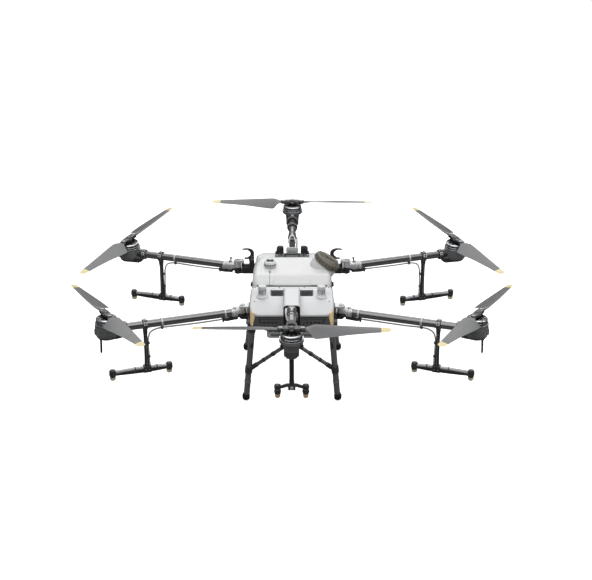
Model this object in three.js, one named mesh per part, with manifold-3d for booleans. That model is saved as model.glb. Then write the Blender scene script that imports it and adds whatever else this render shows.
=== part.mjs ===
// Six-rotor agricultural spray drone with folding arms, folding blades and spray lances.
// Millimetres. +Z up, +Y towards the tail, the nose points to -Y, +X is the machine's right.
// Origin: on the ground, in the middle of the overall length.
// Shapes are drawn about the middle of the airframe; the last step moves them to the origin.
import * as THREE from 'three';
import { mergeVertices } from 'three/addons/utils/BufferGeometryUtils.js';
import Module from 'manifold-3d';

const wasm = await Module();
wasm.setup();

const rad = THREE.MathUtils.degToRad;
const vec = (x, y, z) => new THREE.Vector3(x, y, z);

// ---------- driving dimensions (mm, degrees) ----------
const SIDE_MOTOR_X = 946.5;      // side motors, distance from the centre plane
const SIDE_MOTOR_Y = 504.5;      // side motors, distance fore and aft of the centre
const END_MOTOR_Y = 860;         // front and back motors
const SIDE_ROTOR_Z = 615;        // side rotor plane above the ground
const END_ROTOR_Z = 707;         // front and back rotor plane
const ROTOR_OVER_ARM = 88;       // rotor plane above the arm's axis
const ARM_SWEEP = 17.5;          // side arms, angle away from the X axis
const ROTOR_CANT = 3.5;          // side rotors lean this far about their arm
const BLADE_TIP_R = 482.5;       // 38-inch propeller
const BLADE_PIN_R = 54;          // blade pins from the rotor axis
const BLADE_CHORD = 98;
const TUBE_R = 20.5;             // arm tube
const TUBE_CLEARANCE = 0.4;      // sockets are this much wider and deeper than the tube
const TUBE_END_GAP = 64;         // the tube stops this far short of the motor's axis
const FOLD_RISE = 8.8;           // slope of a folded side arm, over the other pair's roots
const FRONT_HINGE_X = 258;       // fold pins of the side arms
const REAR_HINGE_X = 310;
const END_HINGE_Y = 430;         // fold pins of the front and back arms
const END_HINGE_DROP = 46;       // those pins lie this far under the arm's axis
const LANCE_INBOARD = 196;       // spray lance, inboard of the motor
const LANCE_DROP = 258;          // cross bar under the arm's axis, side arms
const END_LANCE_DROP = 340;      // cross bar under the arm's axis, front and back arms
const TANK_HALF_W = 214;
const TANK_TOP_Z = 635;
const NECK = { x: 178, y: 78, z: 634, lean: 33 };     // filler neck foot, lean towards +X
const VENT = { x: -120, y: 52, stubHeight: 12 };
const RAIL_X = 150;              // frame rails
const RAIL_Z = 455;
const FRONT_BULKHEAD_HALF_W = 211;
const REAR_BULKHEAD_HALF_W = 197;
const POST_GAP = 0.4;            // between a bulkhead and the hinge post beside it
const KNUCKLE_HALF_H = 24;       // side arm knuckle
const FOOT_R = 20.5;
const LEG_R = 16.5;
const HOOK_Y = 281;              // middle of the catch hooks

// ---------- derived places ----------
const ARM_Z = SIDE_ROTOR_Z - ROTOR_OVER_ARM;
const END_ARM_Z = END_ROTOR_Z - ROTOR_OVER_ARM;
const END_PIN_Z = END_ARM_Z - END_HINGE_DROP;
const sweepSlope = Math.tan(rad(ARM_SWEEP));
const FRONT_HINGE_Y = SIDE_MOTOR_Y - (SIDE_MOTOR_X - FRONT_HINGE_X) * sweepSlope;
const REAR_HINGE_Y = SIDE_MOTOR_Y - (SIDE_MOTOR_X - REAR_HINGE_X) * sweepSlope;
const HOOK_Z = ARM_Z + (HOOK_Y + FRONT_HINGE_Y) * Math.tan(rad(FOLD_RISE));

// ---------- placing ----------
const place = (x, y, z, turnX = 0, turnY = 0, turnZ = 0) => new THREE.Matrix4().compose(
  vec(x, y, z),
  new THREE.Quaternion().setFromEuler(new THREE.Euler(rad(turnX), rad(turnY), rad(turnZ), 'ZYX')),
  vec(1, 1, 1));

// Drawing plane stood upright: x stays, y becomes height, depth runs to -Y.
const upright = (x, y, z) => new THREE.Matrix4()
  .makeBasis(vec(1, 0, 0), vec(0, 0, 1), vec(0, -1, 0)).setPosition(x, y, z);

const neckPlace = place(NECK.x, NECK.y, NECK.z, 0, NECK.lean, 0);

// ---------- solids ----------
function signedVolume(points, index) {        // six times the enclosed volume
  let volume = 0;
  for (let i = 0; i < index.length; i += 3) {
    const [a, b, c] = [0, 1, 2].map((j) => vec().fromArray(points, index[i + j] * 3));
    volume += a.dot(b.cross(c));
  }
  return volume;
}

// Swaps two corners of every triangle, which turns the faces over.
function turnOver(index) {
  for (let i = 0; i < index.length; i += 3) [index[i], index[i + 1]] = [index[i + 1], index[i]];
}

const toManifold = (points, index) => new wasm.Manifold(new wasm.Mesh({
  numProp: 3, vertProperties: Float32Array.from(points), triVerts: Uint32Array.from(index),
}));

// Closed geometry to a solid: welded, faces outward, no collapsed triangles.
function solid(geometry, matrix) {
  if (matrix) geometry.applyMatrix4(matrix);
  for (const key of Object.keys(geometry.attributes)) {
    if (key !== 'position') geometry.deleteAttribute(key);
  }
  const welded = mergeVertices(geometry, 1e-3);
  const points = welded.attributes.position.array;
  const index = Array.from(welded.index.array);
  if (signedVolume(points, index) < 0) turnOver(index);
  const kept = [];
  for (let i = 0; i < index.length; i += 3) {
    const [a, b, c] = index.slice(i, i + 3);
    if (a !== b && b !== c && a !== c) kept.push(a, b, c);
  }
  return toManifold(points, kept);
}

const join = (...parts) => parts.reduce((whole, part) => whole.add(part));

const block = (sizeX, sizeY, sizeZ, matrix) =>
  solid(new THREE.BoxGeometry(sizeX, sizeY, sizeZ), matrix);

function box(x0, x1, y0, y1, z0, z1, frame = new THREE.Matrix4()) {
  const middle = place((x0 + x1) / 2, (y0 + y1) / 2, (z0 + z1) / 2);
  return block(x1 - x0, y1 - y0, z1 - z0, middle.premultiply(frame));
}

// The same box on both sides of the centre plane, from xNear out to xFar.
const boxPair = (xNear, xFar, ...rest) =>
  join(box(-xFar, -xNear, ...rest), box(xNear, xFar, ...rest));

function rod(from, to, radius, facets = 8) {
  const along = to.clone().sub(from);
  const length = along.length();
  const turn = new THREE.Quaternion().setFromUnitVectors(vec(0, 1, 0), along.normalize());
  const middle = from.clone().add(to).multiplyScalar(0.5);
  return solid(new THREE.CylinderGeometry(radius, radius, length, facets),
    new THREE.Matrix4().compose(middle, turn, vec(1, 1, 1)));
}

// Rod along an axis, between two distances from a point on it.
function rodOn(axis, start, end, radius, facets = 8, origin = vec(0, 0, 0)) {
  const on = (distance) => origin.clone().add(axis.clone().multiplyScalar(distance));
  return rod(on(start), on(end), radius, facets);
}

const rodX = (x0, x1, radius) => rod(vec(x0, 0, 0), vec(x1, 0, 0), radius);

// Solid of revolution about Z; profile points are [radius, z], from the axis back to the axis.
function turned(profile, facets = 12, matrix = undefined) {
  const outline = profile.map(([radius, z]) => new THREE.Vector2(radius, z));
  const lathe = new THREE.LatheGeometry(outline, facets);
  lathe.applyMatrix4(new THREE.Matrix4().makeRotationX(Math.PI / 2));
  return solid(lathe, matrix);
}

// Skin over rings of equal length, closed by flat ends.
function loft(rings) {
  const count = rings[0].length, index = [];
  const positions = rings.flat().flatMap((point) => [point.x, point.y, point.z]);
  for (let k = 0; k < rings.length - 1; k++) {
    for (let i = 0; i < count; i++) {
      const a = k * count + i, b = k * count + (i + 1) % count;
      index.push(a, b, b + count, a, b + count, a + count);
    }
  }
  const last = (rings.length - 1) * count;
  for (let i = 1; i < count - 1; i++) {
    index.push(0, i + 1, i);
    index.push(last, last + i, last + i + 1);
  }
  const geometry = new THREE.BufferGeometry();
  geometry.setAttribute('position', new THREE.Float32BufferAttribute(positions, 3));
  geometry.setIndex(index);
  return solid(geometry);
}

// Rounded rectangle as a ring in an XZ plane.
function roundRect(x0, x1, z0, z1, radius, y, cornerSteps = 2) {
  const corners = [
    [x1 - radius, z1 - radius, 0], [x0 + radius, z1 - radius, 90],
    [x0 + radius, z0 + radius, 180], [x1 - radius, z0 + radius, 270],
  ];
  return corners.flatMap(([centreX, centreZ, start]) =>
    Array.from({ length: cornerSteps + 1 }, (_, i) => {
      const angle = rad(start + 90 * i / cornerSteps);
      return vec(centreX + radius * Math.cos(angle), y, centreZ + radius * Math.sin(angle));
    }));
}

// Stations are [y, half width, bottom z, top z, corner radius].
const loftY = (stations) => loft(stations.map(([y, halfWidth, z0, z1, radius]) =>
  roundRect(-halfWidth, halfWidth, z0, z1, radius, y)));

// Stations are [x, half width in y, bottom z, top z].
const loftX = (stations, radius, cornerSteps) => loft(stations.map(([x, halfWidth, z0, z1]) =>
  roundRect(-halfWidth, halfWidth, z0, z1, radius, 0, cornerSteps)
    .map((point) => vec(x, point.x, point.z))));

// Round bar swept along a smooth curve through the points.
function bend(points, radius, facets) {
  const shape = new THREE.Shape();
  for (let i = 0; i < facets; i++) {
    const angle = 2 * Math.PI * i / facets;
    shape[i ? 'lineTo' : 'moveTo'](radius * Math.cos(angle), radius * Math.sin(angle));
  }
  shape.closePath();
  const extrudePath = new THREE.CatmullRomCurve3(points);
  return solid(new THREE.ExtrudeGeometry(shape, { steps: 4, bevelEnabled: false, extrudePath }));
}

// Polygon in XY, extruded along +Z, then placed.
function plate(points, depth, matrix) {
  const shape = new THREE.Shape(points.map(([x, y]) => new THREE.Vector2(x, y)));
  return solid(new THREE.ExtrudeGeometry(shape, { depth, bevelEnabled: false }), matrix);
}

// Mirror image with one coordinate negated: 0 for x, 1 for y.
function mirrored(part, coordinate) {
  const mesh = part.getMesh();
  const points = Float32Array.from(mesh.vertProperties);
  const index = Uint32Array.from(mesh.triVerts);
  for (let i = coordinate; i < points.length; i += 3) points[i] = -points[i];
  turnOver(index);
  return toManifold(points, index);
}

// ---------- materials ----------
const finish = (color, roughness, metalness = 0) => ({ color, roughness, metalness });
const MATERIALS = {
  white_shell: finish(0xd9dbdc, 0.45),
  tank_white: finish(0xe6e8e6, 0.4),
  dark_cover: finish(0x4a4d50, 0.55),
  carbon: finish(0x26282b, 0.38, 0.1),
  moulded_grey: finish(0x6d7073, 0.5),
  black_plastic: finish(0x1d1e20, 0.5),
  blade_grey: finish(0x76797c, 0.45),
  rotor_metal: finish(0x2a2b2d, 0.35, 0.7),
  collar_white: finish(0xd5d7d8, 0.35, 0.3),
  lid_olive: finish(0x7d7868, 0.6),
  hook_black: finish(0x1f2022, 0.45, 0.5),
  frame_black: finish(0x2c2e31, 0.5, 0.3),
  battery_grey: finish(0x55585b, 0.5),
  cap_white: finish(0xe2e3e4, 0.5),
  lamp_orange: finish(0xe09a45, 0.35),
};

const drone = new THREE.Group();
const joints = {};
drone.userData.joints = joints;

function addPiece(name, part, slot, parent = drone) {
  const mesh = part.asOriginal().simplify(0.05).getMesh();    // merges coplanar facets left by cuts
  const geometry = new THREE.BufferGeometry();
  const positions = Float32Array.from(mesh.vertProperties);
  geometry.setAttribute('position', new THREE.Float32BufferAttribute(positions, 3));
  geometry.setIndex(Array.from(mesh.triVerts));
  const piece = new THREE.Mesh(geometry, new THREE.MeshStandardMaterial(MATERIALS[slot]));
  piece.name = name;
  piece.userData.slot = slot;
  parent.add(piece);
}

function addSidePair(name, rightPart, slot) {
  addPiece(`${name}_right`, rightPart, slot);
  addPiece(`${name}_left`, mirrored(rightPart, 0), slot);
}

function addGroup(matrix, parent = drone) {
  const group = new THREE.Group();
  group.applyMatrix4(matrix);
  parent.add(group);
  return group;
}

function addTurned(parent, degrees) {         // child group turned about its parent's Z
  const group = new THREE.Group();
  group.rotation.z = rad(degrees);
  parent.add(group);
  return group;
}

// ---------- tank ----------
// Wide above the frame rails, narrow between them, with a sloping front face and a raised neck.
function makeTank() {
  const upper = loftY([
    [-124, 186, 505, 602, 22], [-119, 195, 497, 615, 26], [-108, 206, 482, 624, 30],
    [-76, TANK_HALF_W, 476, 633.5, 34], [-50, TANK_HALF_W, 476, TANK_TOP_Z, 34],
    [200, TANK_HALF_W, 476, TANK_TOP_Z, 34], [238, TANK_HALF_W - 6, 482, 618, 36],
    [254, 184, 500, 590, 30],
  ]);
  const lower = loftY([[-120, 112, 432, 500, 16], [236, 112, 432, 500, 16]]);
  const neck = turned([[0, -60], [66, -60], [66, 10], [52, 14], [52, 24], [0, 24]], 14, neckPlace)
    .subtract(box(-400, 400, -400, 400, 300, 560));
  const overNeck = box(-100, 100, -100, 100, 10, 130, neckPlace);
  const bore = turned([[0, -90], [40, -90], [40, 40], [0, 40]], 12, neckPlace);
  const ventStub = turned([
    [0, -20], [26, -20], [26, 4], [12, 4], [12, VENT.stubHeight], [0, VENT.stubHeight],
  ].map(([radius, z]) => [radius, TANK_TOP_Z + z]), 10, place(VENT.x, VENT.y, 0));
  return join(upper, lower).subtract(overNeck).add(neck).subtract(bore).add(ventStub);
}

// Blocks spaced evenly round a cap; size is [radial, tangential, height].
const ribsAround = (count, radius, z, size) => Array.from({ length: count }, (_, i) => {
  const azimuth = i * 360 / count;
  const x = radius * Math.cos(rad(azimuth)), y = radius * Math.sin(rad(azimuth));
  return block(...size, place(x, y, z, 0, 0, azimuth));
});

// Ribbed filler lid, in the frame of the leaning neck.
function makeLid() {
  const body = turned([
    [0, 52], [44, 55], [60, 48], [70, 36], [72, 12], [66.5, 11.5], [59, 14.8], [53.6, 15.2],
    [53.6, 25], [0, 25],
  ], 14);
  return join(body, ...ribsAround(8, 71, 25, [7, 9, 22]), block(104, 15, 12, place(0, 0, 56)));
}

// Small knurled cap, in a frame at the tank top.
function makeVentCap() {
  const body = turned([
    [0, 34], [20, 34], [30, 29], [33, 22], [33, 5], [12.6, 5], [12.6, 13], [0, 13],
  ]);
  return join(body, ...ribsAround(4, 32, 13, [4, 6, 15]));
}

// ---------- centre frame ----------
// Two rails, front and rear bulkheads, drawn as one bonded structure.
function makeCentreFrame() {
  const rail = (x) => rod(vec(x, -330, RAIL_Z), vec(x, 318, RAIL_Z), 15);
  const rails = join(rail(-RAIL_X), rail(RAIL_X));
  const front = join(
    box(-FRONT_BULKHEAD_HALF_W, FRONT_BULKHEAD_HALF_W, -325, -265, 468, 560),
    box(-RAIL_X, RAIL_X, -320, -300, 445, 470),
    box(-30, 30, -402, -320, 520, 560));
  const rear = join(
    boxPair(92, REAR_BULKHEAD_HALF_W, 262, 318, 468, 560),
    box(-RAIL_X, RAIL_X, 295, 315, 445, 466),
    boxPair(92, 112, 300, 362, 450, 560),
    box(-112, 112, 349, 362, 450, 560),
    box(-30, 30, 355, 402, 520, 553));
  return join(rails, front, rear).subtract(box(-150, 150, -300, -240, 485, 545));
}

// ---------- fold hinges ----------
// Each side fold axis leans so that the arm is level at work and slopes up when folded, which
// carries its motor over the other arm. The rear pins stand further out, so the folded pairs
// lie side by side.
const heading = (azimuth, rise) => vec(
  Math.cos(rad(azimuth)) * Math.cos(rad(rise)),
  Math.sin(rad(azimuth)) * Math.cos(rad(rise)),
  Math.sin(rad(rise)));

// Axis nearest the vertical that turns one arm direction into the other, and the angle.
function sideFold(work, folded) {
  const change = folded.clone().sub(work).normalize();
  const axis = vec(0, 0, 1).sub(change.clone().multiplyScalar(change.z)).normalize();
  const across = (d) => d.clone().sub(axis.clone().multiplyScalar(d.dot(axis)));
  const from = across(work), to = across(folded);
  const angle = Math.atan2(axis.dot(from.clone().cross(to)), from.dot(to));
  return { axis, angle: THREE.MathUtils.radToDeg(angle) };
}
const FRONT_FOLD = sideFold(heading(-ARM_SWEEP, 0), heading(90, FOLD_RISE));   // right arms
const REAR_FOLD = sideFold(heading(ARM_SWEEP, 0), heading(-88, FOLD_RISE));

function hingeFrame(pin, axis) {              // x outward and level, z along the fold axis
  const y = axis.clone().cross(vec(1, 0, 0)).normalize();
  const x = y.clone().cross(axis).normalize();
  return new THREE.Matrix4().makeBasis(x, y, axis).setPosition(pin);
}

// A post with two lugs, one over and one under the arm knuckle, and the fold pin.
function makeSideBracket(hingeX, hingeY, postInnerX, axis) {
  const pin = vec(hingeX, hingeY, ARM_Z), frame = hingeFrame(pin, axis);
  const lugStart = KNUCKLE_HALF_H + 1.5, lugEnd = KNUCKLE_HALF_H + 14;
  const pinEnd = KNUCKLE_HALF_H + 19;
  return join(
    box(postInnerX, hingeX - 31, hingeY - 27, hingeY + 27, ARM_Z - 42, ARM_Z + 42),
    box(-36, 0, -21, 21, lugStart, lugEnd, frame),
    box(-36, 0, -21, 21, -lugEnd, -lugStart, frame),
    rodOn(axis, lugStart, lugEnd, 21, 8, pin),
    rodOn(axis, -lugEnd, -lugStart, 21, 8, pin),
    rodOn(axis, -pinEnd, pinEnd, 7, 6, pin));
}

// Front arm's bracket: back plate, two cheeks and a level pin.
const makeEndBracket = () => join(
  box(-33, 33, -413.5, -402.3, 522, 600),
  boxPair(20.5, 33, -444, -410, 553, 596),
  rod(vec(-33, -END_HINGE_Y, END_PIN_Z), vec(33, -END_HINGE_Y, END_PIN_Z), 6, 6));

// Openings in a cover round the two hinge posts at this y.
const hingeSlots = (hingeY) => boxPair(180, 260, hingeY - 30, hingeY + 30, 470, ARM_Z + 43);

// ---------- covers ----------
// Spine hood over the front hinge.
function makeSpineCover() {
  const hood = loftY([
    [-444, 42, 517, 632, 12], [-430, 43, 517, 635, 14], [-236, 43, 560, 635, 14],
    [-206, 38, 575, 628, 14], [-194, 30, 585, 618, 12],
  ]);
  return hood
    .subtract(loftY([[-470, 36.5, 500, 626, 10], [-345, 36.5, 500, 626, 10]]))
    .subtract(box(-60, 60, -346, -180, 480, 598))
    .subtract(box(-34, 34, -360, -300, 480, 600));
}

// Side outline of the right lamp, extruded along +X; the gap widens it into its recess.
const lampPrism = (gap) => plate([       // [y, z]
  [-387 - gap, 563 + gap], [-370 - gap, 520], [-366 - gap, 478 - gap],
  [-348 + gap, 478 - gap], [-344 + gap, 524], [-328 + gap, 570 + gap],
], 60, new THREE.Matrix4().makeBasis(vec(0, 1, 0), vec(0, 0, 1), vec(1, 0, 0)).setPosition(170, 0, 0));

// Accent lamp wrapping a front corner of the airframe, let into the shell.
function makeLamp() {
  const outer = loftY([
    [-400, 186, 460, 600, 4], [-388, 203, 460, 600, 4], [-380, 209, 460, 600, 4],
    [-352, 219.5, 460, 600, 4], [-300, 224, 460, 600, 4],
  ]);
  const inner = loftY([
    [-400, 176, 440, 620, 4], [-388, 192, 440, 620, 4], [-380, 200.8, 440, 620, 4],
    [-352, 212.8, 440, 620, 4], [-326, 214.8, 440, 620, 4], [-290, 214.8, 440, 620, 4],
  ]);
  return lampPrism(0).intersect(outer).subtract(inner);
}

const SPINE_SLOT_HALF_W = 43.6;               // opening for the spine in the shell and lower cover
const GRILLE_OPENING = { xInner: 43, xOuter: 113, yFront: -253, yRear: -187 };
const GRILLE_GAP = 0.6;

// White upper shell of the nose, with a stepped round post on each side.
function makeFrontShell() {
  const outer = loftY([
    [-396, 182, 548, 556, 4], [-388, 200, 548, 562, 7], [-368, 213, 548, 569, 9],
    [-330, 221, 548, 581, 14], [-322, 221.3, 548, 583.5, 15], [-300, 221.6, 536, 589, 17],
    [-250, 222, 536, 599, 20], [-190, 220, 536, 611.5, 20], [-160, 218, 539, 609, 20],
    [-148, 216, 542, 605, 20], [-138, 208, 550, 596, 18],
  ]);
  const inner = loftY([
    [-391, 176, 500, 552, 4], [-383, 195, 500, 557, 6], [-364, 208, 500, 564, 8],
    [-330, 216.5, 500, 576, 12], [-250, 217.5, 500, 594, 18], [-190, 215.5, 500, 606.5, 18],
    [-160, 213.5, 500, 603.5, 18], [-100, 209, 500, 589, 18],
  ]);
  const post = (x) => turned(
    [[0, -16], [32, -16], [34, -1], [21.5, 10], [21.5, 48], [0, 48]], 10, place(x, -250, 602));
  const { xInner, xOuter, yFront, yRear } = GRILLE_OPENING;
  const recess = lampPrism(0.5);
  return outer.subtract(inner)
    .subtract(box(-SPINE_SLOT_HALF_W, SPINE_SLOT_HALF_W, -460, -185, 480, 660))
    .subtract(hingeSlots(-FRONT_HINGE_Y))
    .add(post(156)).add(post(-156))
    .subtract(boxPair(xInner, xOuter, yFront, yRear, 570, 640))
    .subtract(inner)                          // trims the post feet inside the shell
    .subtract(recess).subtract(mirrored(recess, 0));
}

function makeLowerCover() {
  const outer = loftY([
    [-388, 184, 488, 547.4, 12], [-380, 200, 480, 547.4, 14],
    [-352, 212, 474, 547.4, 16], [-326, 214, 472, 547.4, 16],
  ]);
  const inner = loftY([
    [-383, 178, 494, 575, 10], [-376, 194, 486, 575, 12],
    [-352, 206, 480, 575, 14], [-300, 208, 478, 575, 14],
  ]);
  return outer.subtract(inner)
    .subtract(box(-SPINE_SLOT_HALF_W, SPINE_SLOT_HALF_W, -460, -340, 470, 620));
}

// Rear cover, open for the battery, the back hinge and the rear hinge posts.
function makeRearCover() {
  const outer = loftY([
    [262, 205, 470, 590, 20], [330, 205, 470, 588, 24],
    [372, 178, 480, 580, 24], [398, 120, 495, 566, 20],
  ]);
  const inner = loftY([
    [240, 199, 440, 584, 18], [330, 199, 440, 582, 22],
    [368, 172, 440, 574, 22], [392, 112, 440, 560, 18],
  ]);
  return outer.subtract(inner)
    .subtract(box(-97, 97, 250, 378, 500, 640))
    .subtract(box(-36, 36, 360, 460, 512, 556))
    .subtract(hingeSlots(REAR_HINGE_Y));
}

// Grilles in the front shell either side of the spine, one moulding bridged under the spine cover.
function makeGrille() {
  const xInner = 44, xOuter = GRILLE_OPENING.xOuter - GRILLE_GAP, bottomZ = 574;
  const ends = [                              // [y, top z]
    [GRILLE_OPENING.yFront + GRILLE_GAP, 594], [GRILLE_OPENING.yRear - GRILLE_GAP, 611],
  ];
  const wedge = (side) => loft(ends.map(([y, topZ]) => [
    vec(side * xInner, y, bottomZ), vec(side * xOuter, y, bottomZ),
    vec(side * xOuter, y, topZ), vec(side * xInner, y, topZ),
  ]));
  let grille = join(box(-60, 60, -240, -200, 575, 589), wedge(-1), wedge(1));
  const slotPitch = 11.4, slotWidth = 6;
  for (let i = 0; i < 5; i++) {
    const y = -244 + i * slotPitch;
    grille = grille.subtract(boxPair(50, 106, y, y + slotWidth, 590, 640));
  }
  return grille;
}

// ---------- battery and pump ----------
// Battery with a carrying handle; it lifts straight up out of its bay.
const makeBattery = () => join(
  loftY([
    [259.6, 78, 468, 584, 8], [264, 84, 467, 588, 10],
    [340, 84, 467, 588, 10], [345, 78, 468, 584, 8],
  ]),
  boxPair(35, 45, 292, 312, 580, 606),
  box(-45, 45, 292, 312, 598, 608));

// Pump unit under the nose, with its two pump heads.
function makePump() {
  const head = (x) => rod(vec(x, -262, 397), vec(x, -262, 404), 34);
  const body = loftY([
    [-366, 112, 412, 438, 10], [-352, 132, 402, 439.5, 14],
    [-205, 134, 402, 439.5, 14], [-188, 120, 410, 436, 12],
  ]);
  return join(body, head(-70), head(70));
}

// ---------- landing gear ----------
const LEG_TOP_Z = 466;
const LEGS = [
  { top: [207, -286], foot: [249, -300], bellyTopZ: 396.6 },
  { top: [205, 288], foot: [265, 291], bellyTopZ: 444.6 },
];

// A splayed leg with its rubber foot, top block, and bracing strut to a block at the belly.
function makeLeg({ top: [topX, topY], foot: [footX, footY], bellyTopZ }) {
  const on = (z) => {
    const share = (LEG_TOP_Z - z) / LEG_TOP_Z;
    return vec(topX + (footX - topX) * share, topY + (footY - topY) * share, z);
  };
  const bellyY = Math.sign(topY) * 305;
  return join(
    rod(on(LEG_TOP_Z), on(12), LEG_R),
    box(topX - 20, topX + 20, topY - 20, topY + 20, 440, 467.4),
    turned([[0, 0], [15, 0], [FOOT_R, 5], [FOOT_R, 34], [LEG_R, 40], [0, 40]], 8,
      place(footX, footY, 0)),
    rod(on(205), on(165), LEG_R + 4),
    rod(on(185).setZ(182), vec(47, bellyY, 322), 10.5, 6),
    box(36, 60, bellyY - 14, bellyY + 14, 316, bellyTopZ));
}

// Right side: top rail and two legs.
const makeGear = () => join(
  rod(vec(206, -290, 453), vec(206, 292, 453), 10, 6), ...LEGS.map(makeLeg));

// ---------- catch hooks ----------
// Hook that holds a folded front side arm, standing over the rear hinge post, open outward.
function makeCatchHook() {
  const inner = TUBE_R + 4, outer = inner + 9;
  const arc = (radius) => Array.from({ length: 11 }, (_, i) => {
    const angle = rad(90 + 18 * i);
    return [radius * Math.cos(angle), radius * Math.sin(angle)];
  });
  const outline = [
    [18, inner + 6], ...arc(outer), [12, -outer], [12, -inner], ...arc(inner).reverse(),
    [16, inner], [20, inner - 3], [24, inner + 1],
  ];
  const stemOutline = [
    [-inner - 7, 8], [-inner + 2, -18], [-16, -inner - 8],
    [-18, -62], [-40, -62], [-44, -26],
  ];
  const frame = upright(FRONT_HINGE_X, HOOK_Y + 7, HOOK_Z);
  const stem = plate(stemOutline, 12, frame.clone().multiply(place(0, 0, 1)));
  return plate(outline, 14, frame).add(stem).subtract(box(0, 400, 200, 400, 0, ARM_Z + 44));
}

// ---------- arms ----------
// Arm frame: x along the arm away from the fold pin, z up, origin on the arm's axis at the pin.

// Knuckle round the leaning fold pin, opening into the tube socket.
const sideArmRoot = (axis) => join(
  rodOn(axis, -KNUCKLE_HALF_H, KNUCKLE_HALF_H, 20, 10),
  box(0, 50, -14, 14, -17, 17),
  rodX(34, 58, 27),
  box(36, 56, -10, 10, -38, -20)).subtract(rodOn(axis, -60, 60, 8.4, 6));

// Knuckle under the arm's axis, carried by a web that opens into the tube socket.
function endArmRoot() {
  const crossRod = (halfLength, radius, facets) => rod(
    vec(0, -halfLength, -END_HINGE_DROP), vec(0, halfLength, -END_HINGE_DROP), radius, facets);
  const web = plate([
    [-13, -END_HINGE_DROP - 6], [0, -END_HINGE_DROP - 14], [14, -END_HINGE_DROP - 9],
    [58, -20], [58, 12], [30, 12], [6, -14], [-12, -END_HINGE_DROP + 4],
  ], 36, upright(0, 18, 0));
  return join(web, crossRod(18, 14, 8), rodX(34, 62, 27)).subtract(crossRod(40, 7.3, 6));
}

// Root, tube, two clips and the hose slung under them.
function makeArmTube(root, length, clipX) {
  const clips = clipX.flatMap((x) =>
    [rodX(x - 4.5, x + 4.5, 23), box(x - 6, x + 6, -7, 7, -37, -18)]);
  const [first, second] = clipX;
  const hose = bend([
    vec(first - 26, 0, -30), vec(first, 0, -31), vec((first + second) / 2, 0, -30),
    vec(second, 0, -31), vec(length - LANCE_INBOARD - 36, 0, -34),
  ], 4.6, 5);
  return join(root, rodX(46, length - TUBE_END_GAP, TUBE_R), ...clips, hose);
}

// Motor seat, canted with its rotor, on a housing socketed over the tube's end.
function makeMotorMount(length, cant, isEnd) {
  const upright0 = place(length, 0, 0);
  let mount = turned([[0, 20], [61, 20], [61, 42], [0, 42]], 12, place(length, 0, 0, -cant));
  if (isEnd) {
    mount = mount.add(turned(
      [[0, -66], [28, -66], [33, -60], [41, 4], [52, 22], [0, 22]], 10, upright0));
  } else {
    const body = [                            // [x from the motor, half width, bottom z, top z]
      [-84, 30, -44, -12], [-70, 42, -52, -6], [10, 46, -54, -4], [40, 34, -54, -6],
    ];
    mount = join(mount,
      turned([[0, -50], [58, -50], [65, -42], [60, 24], [0, 24]], 12, upright0),
      loftX(body.map(([x, ...rest]) => [length + x, ...rest]), 12));
  }
  const socketEnd = length - TUBE_END_GAP + TUBE_CLEARANCE;
  return mount.add(rodX(length - 104, length - 40, 26.5))
    .subtract(rodX(length - 140, socketEnd, TUBE_R + TUBE_CLEARANCE));
}

// Clamp on the tube, stem down to a cross bar, and two nozzles.
// The bar lies along a side arm, but across an end arm.
function makeLance(length, isEnd) {
  const x = length - LANCE_INBOARD, z = -(isEnd ? END_LANCE_DROP : LANCE_DROP);
  const stem = [                              // [z, half size in x, half size in y]
    [-40, 11, 12], [-70, 9.5, 11], [z * 0.7, 10, 11], [z + 4, 13, 12],
  ];
  let lance = join(rodX(x - 12, x + 12, 27.5), box(x - 11, x + 11, -14, 14, -44, -20),
    loft(stem.map(([level, halfX, halfY]) => roundRect(-halfX, halfX, -halfY, halfY, 5, 0, 1)
      .map((point) => vec(x + point.x, point.z, level)))));
  if (isEnd) {
    const nozzleY = 72;
    const nozzle = [
      [0, -60], [14, -60], [14, -36], [17, -36], [17, -14], [13, -12], [17, -9],
      [17, 14], [0, 14],
    ];
    const bow = [[-nozzleY, -4], [-40, 4], [0, 10], [40, 4], [nozzleY, -4]];   // [y, rise]
    lance = join(lance, bend(bow.map(([y, rise]) => vec(x, y, z + rise)), 9.5, 6),
      box(x - 16, x + 16, -20, 20, z - 12, z + 12),
      ...[-nozzleY, nozzleY].map((y) => turned(nozzle, 8, place(x, y, z))));
  } else {
    const nozzle = [[0, -34], [13, -34], [13, -19], [16, -19], [16, 20], [0, 20]];
    const bar = [                             // [x from the stem, half width, half height]
      [-112, 9, 10], [0, 13, 13], [90, 12, 12], [175, 9, 10],
    ];
    lance = join(lance,
      loftX(bar.map(([along, width, height]) => [x + along, width, z - height, z + height]), 5, 1),
      ...[-118, 183].map((along) => turned(nozzle, 8, place(x + along, 0, z))));
  }
  return lance.subtract(rodX(x - 60, x + 60, TUBE_R + TUBE_CLEARANCE));
}

// ---------- rotors ----------
// Rotor frame: z along the rotor's axis, origin on the arm's axis.
// Motor bell, spacer, and two long plates that hold the blade pins.
function makeRotorHub() {
  const bell = turned([
    [0, 43.5], [54.5, 43.5], [54.5, 63], [49, 69], [21, 71], [21, 83], [0, 83],
  ]);
  const outline = [1, -1].flatMap((side) => [0, 1, 2, 3, 4].map((i) => {
    const angle = rad(side * -90 + 45 * i);
    return [side * BLADE_PIN_R + 16 * Math.cos(angle), 16 * Math.sin(angle)];
  }));
  const post = (x, z0, z1, radius, facets) => rod(vec(x, 0, z0), vec(x, 0, z1), radius, facets);
  return join(bell,
    plate(outline, 4, place(0, 0, ROTOR_OVER_ARM - 9)),
    plate(outline, 4, place(0, 0, ROTOR_OVER_ARM + 5)),
    post(0, 82, 94, 17, 8),
    post(BLADE_PIN_R, 80, 100, 5, 6),
    post(-BLADE_PIN_R, 80, 100, 5, 6));
}

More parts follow.
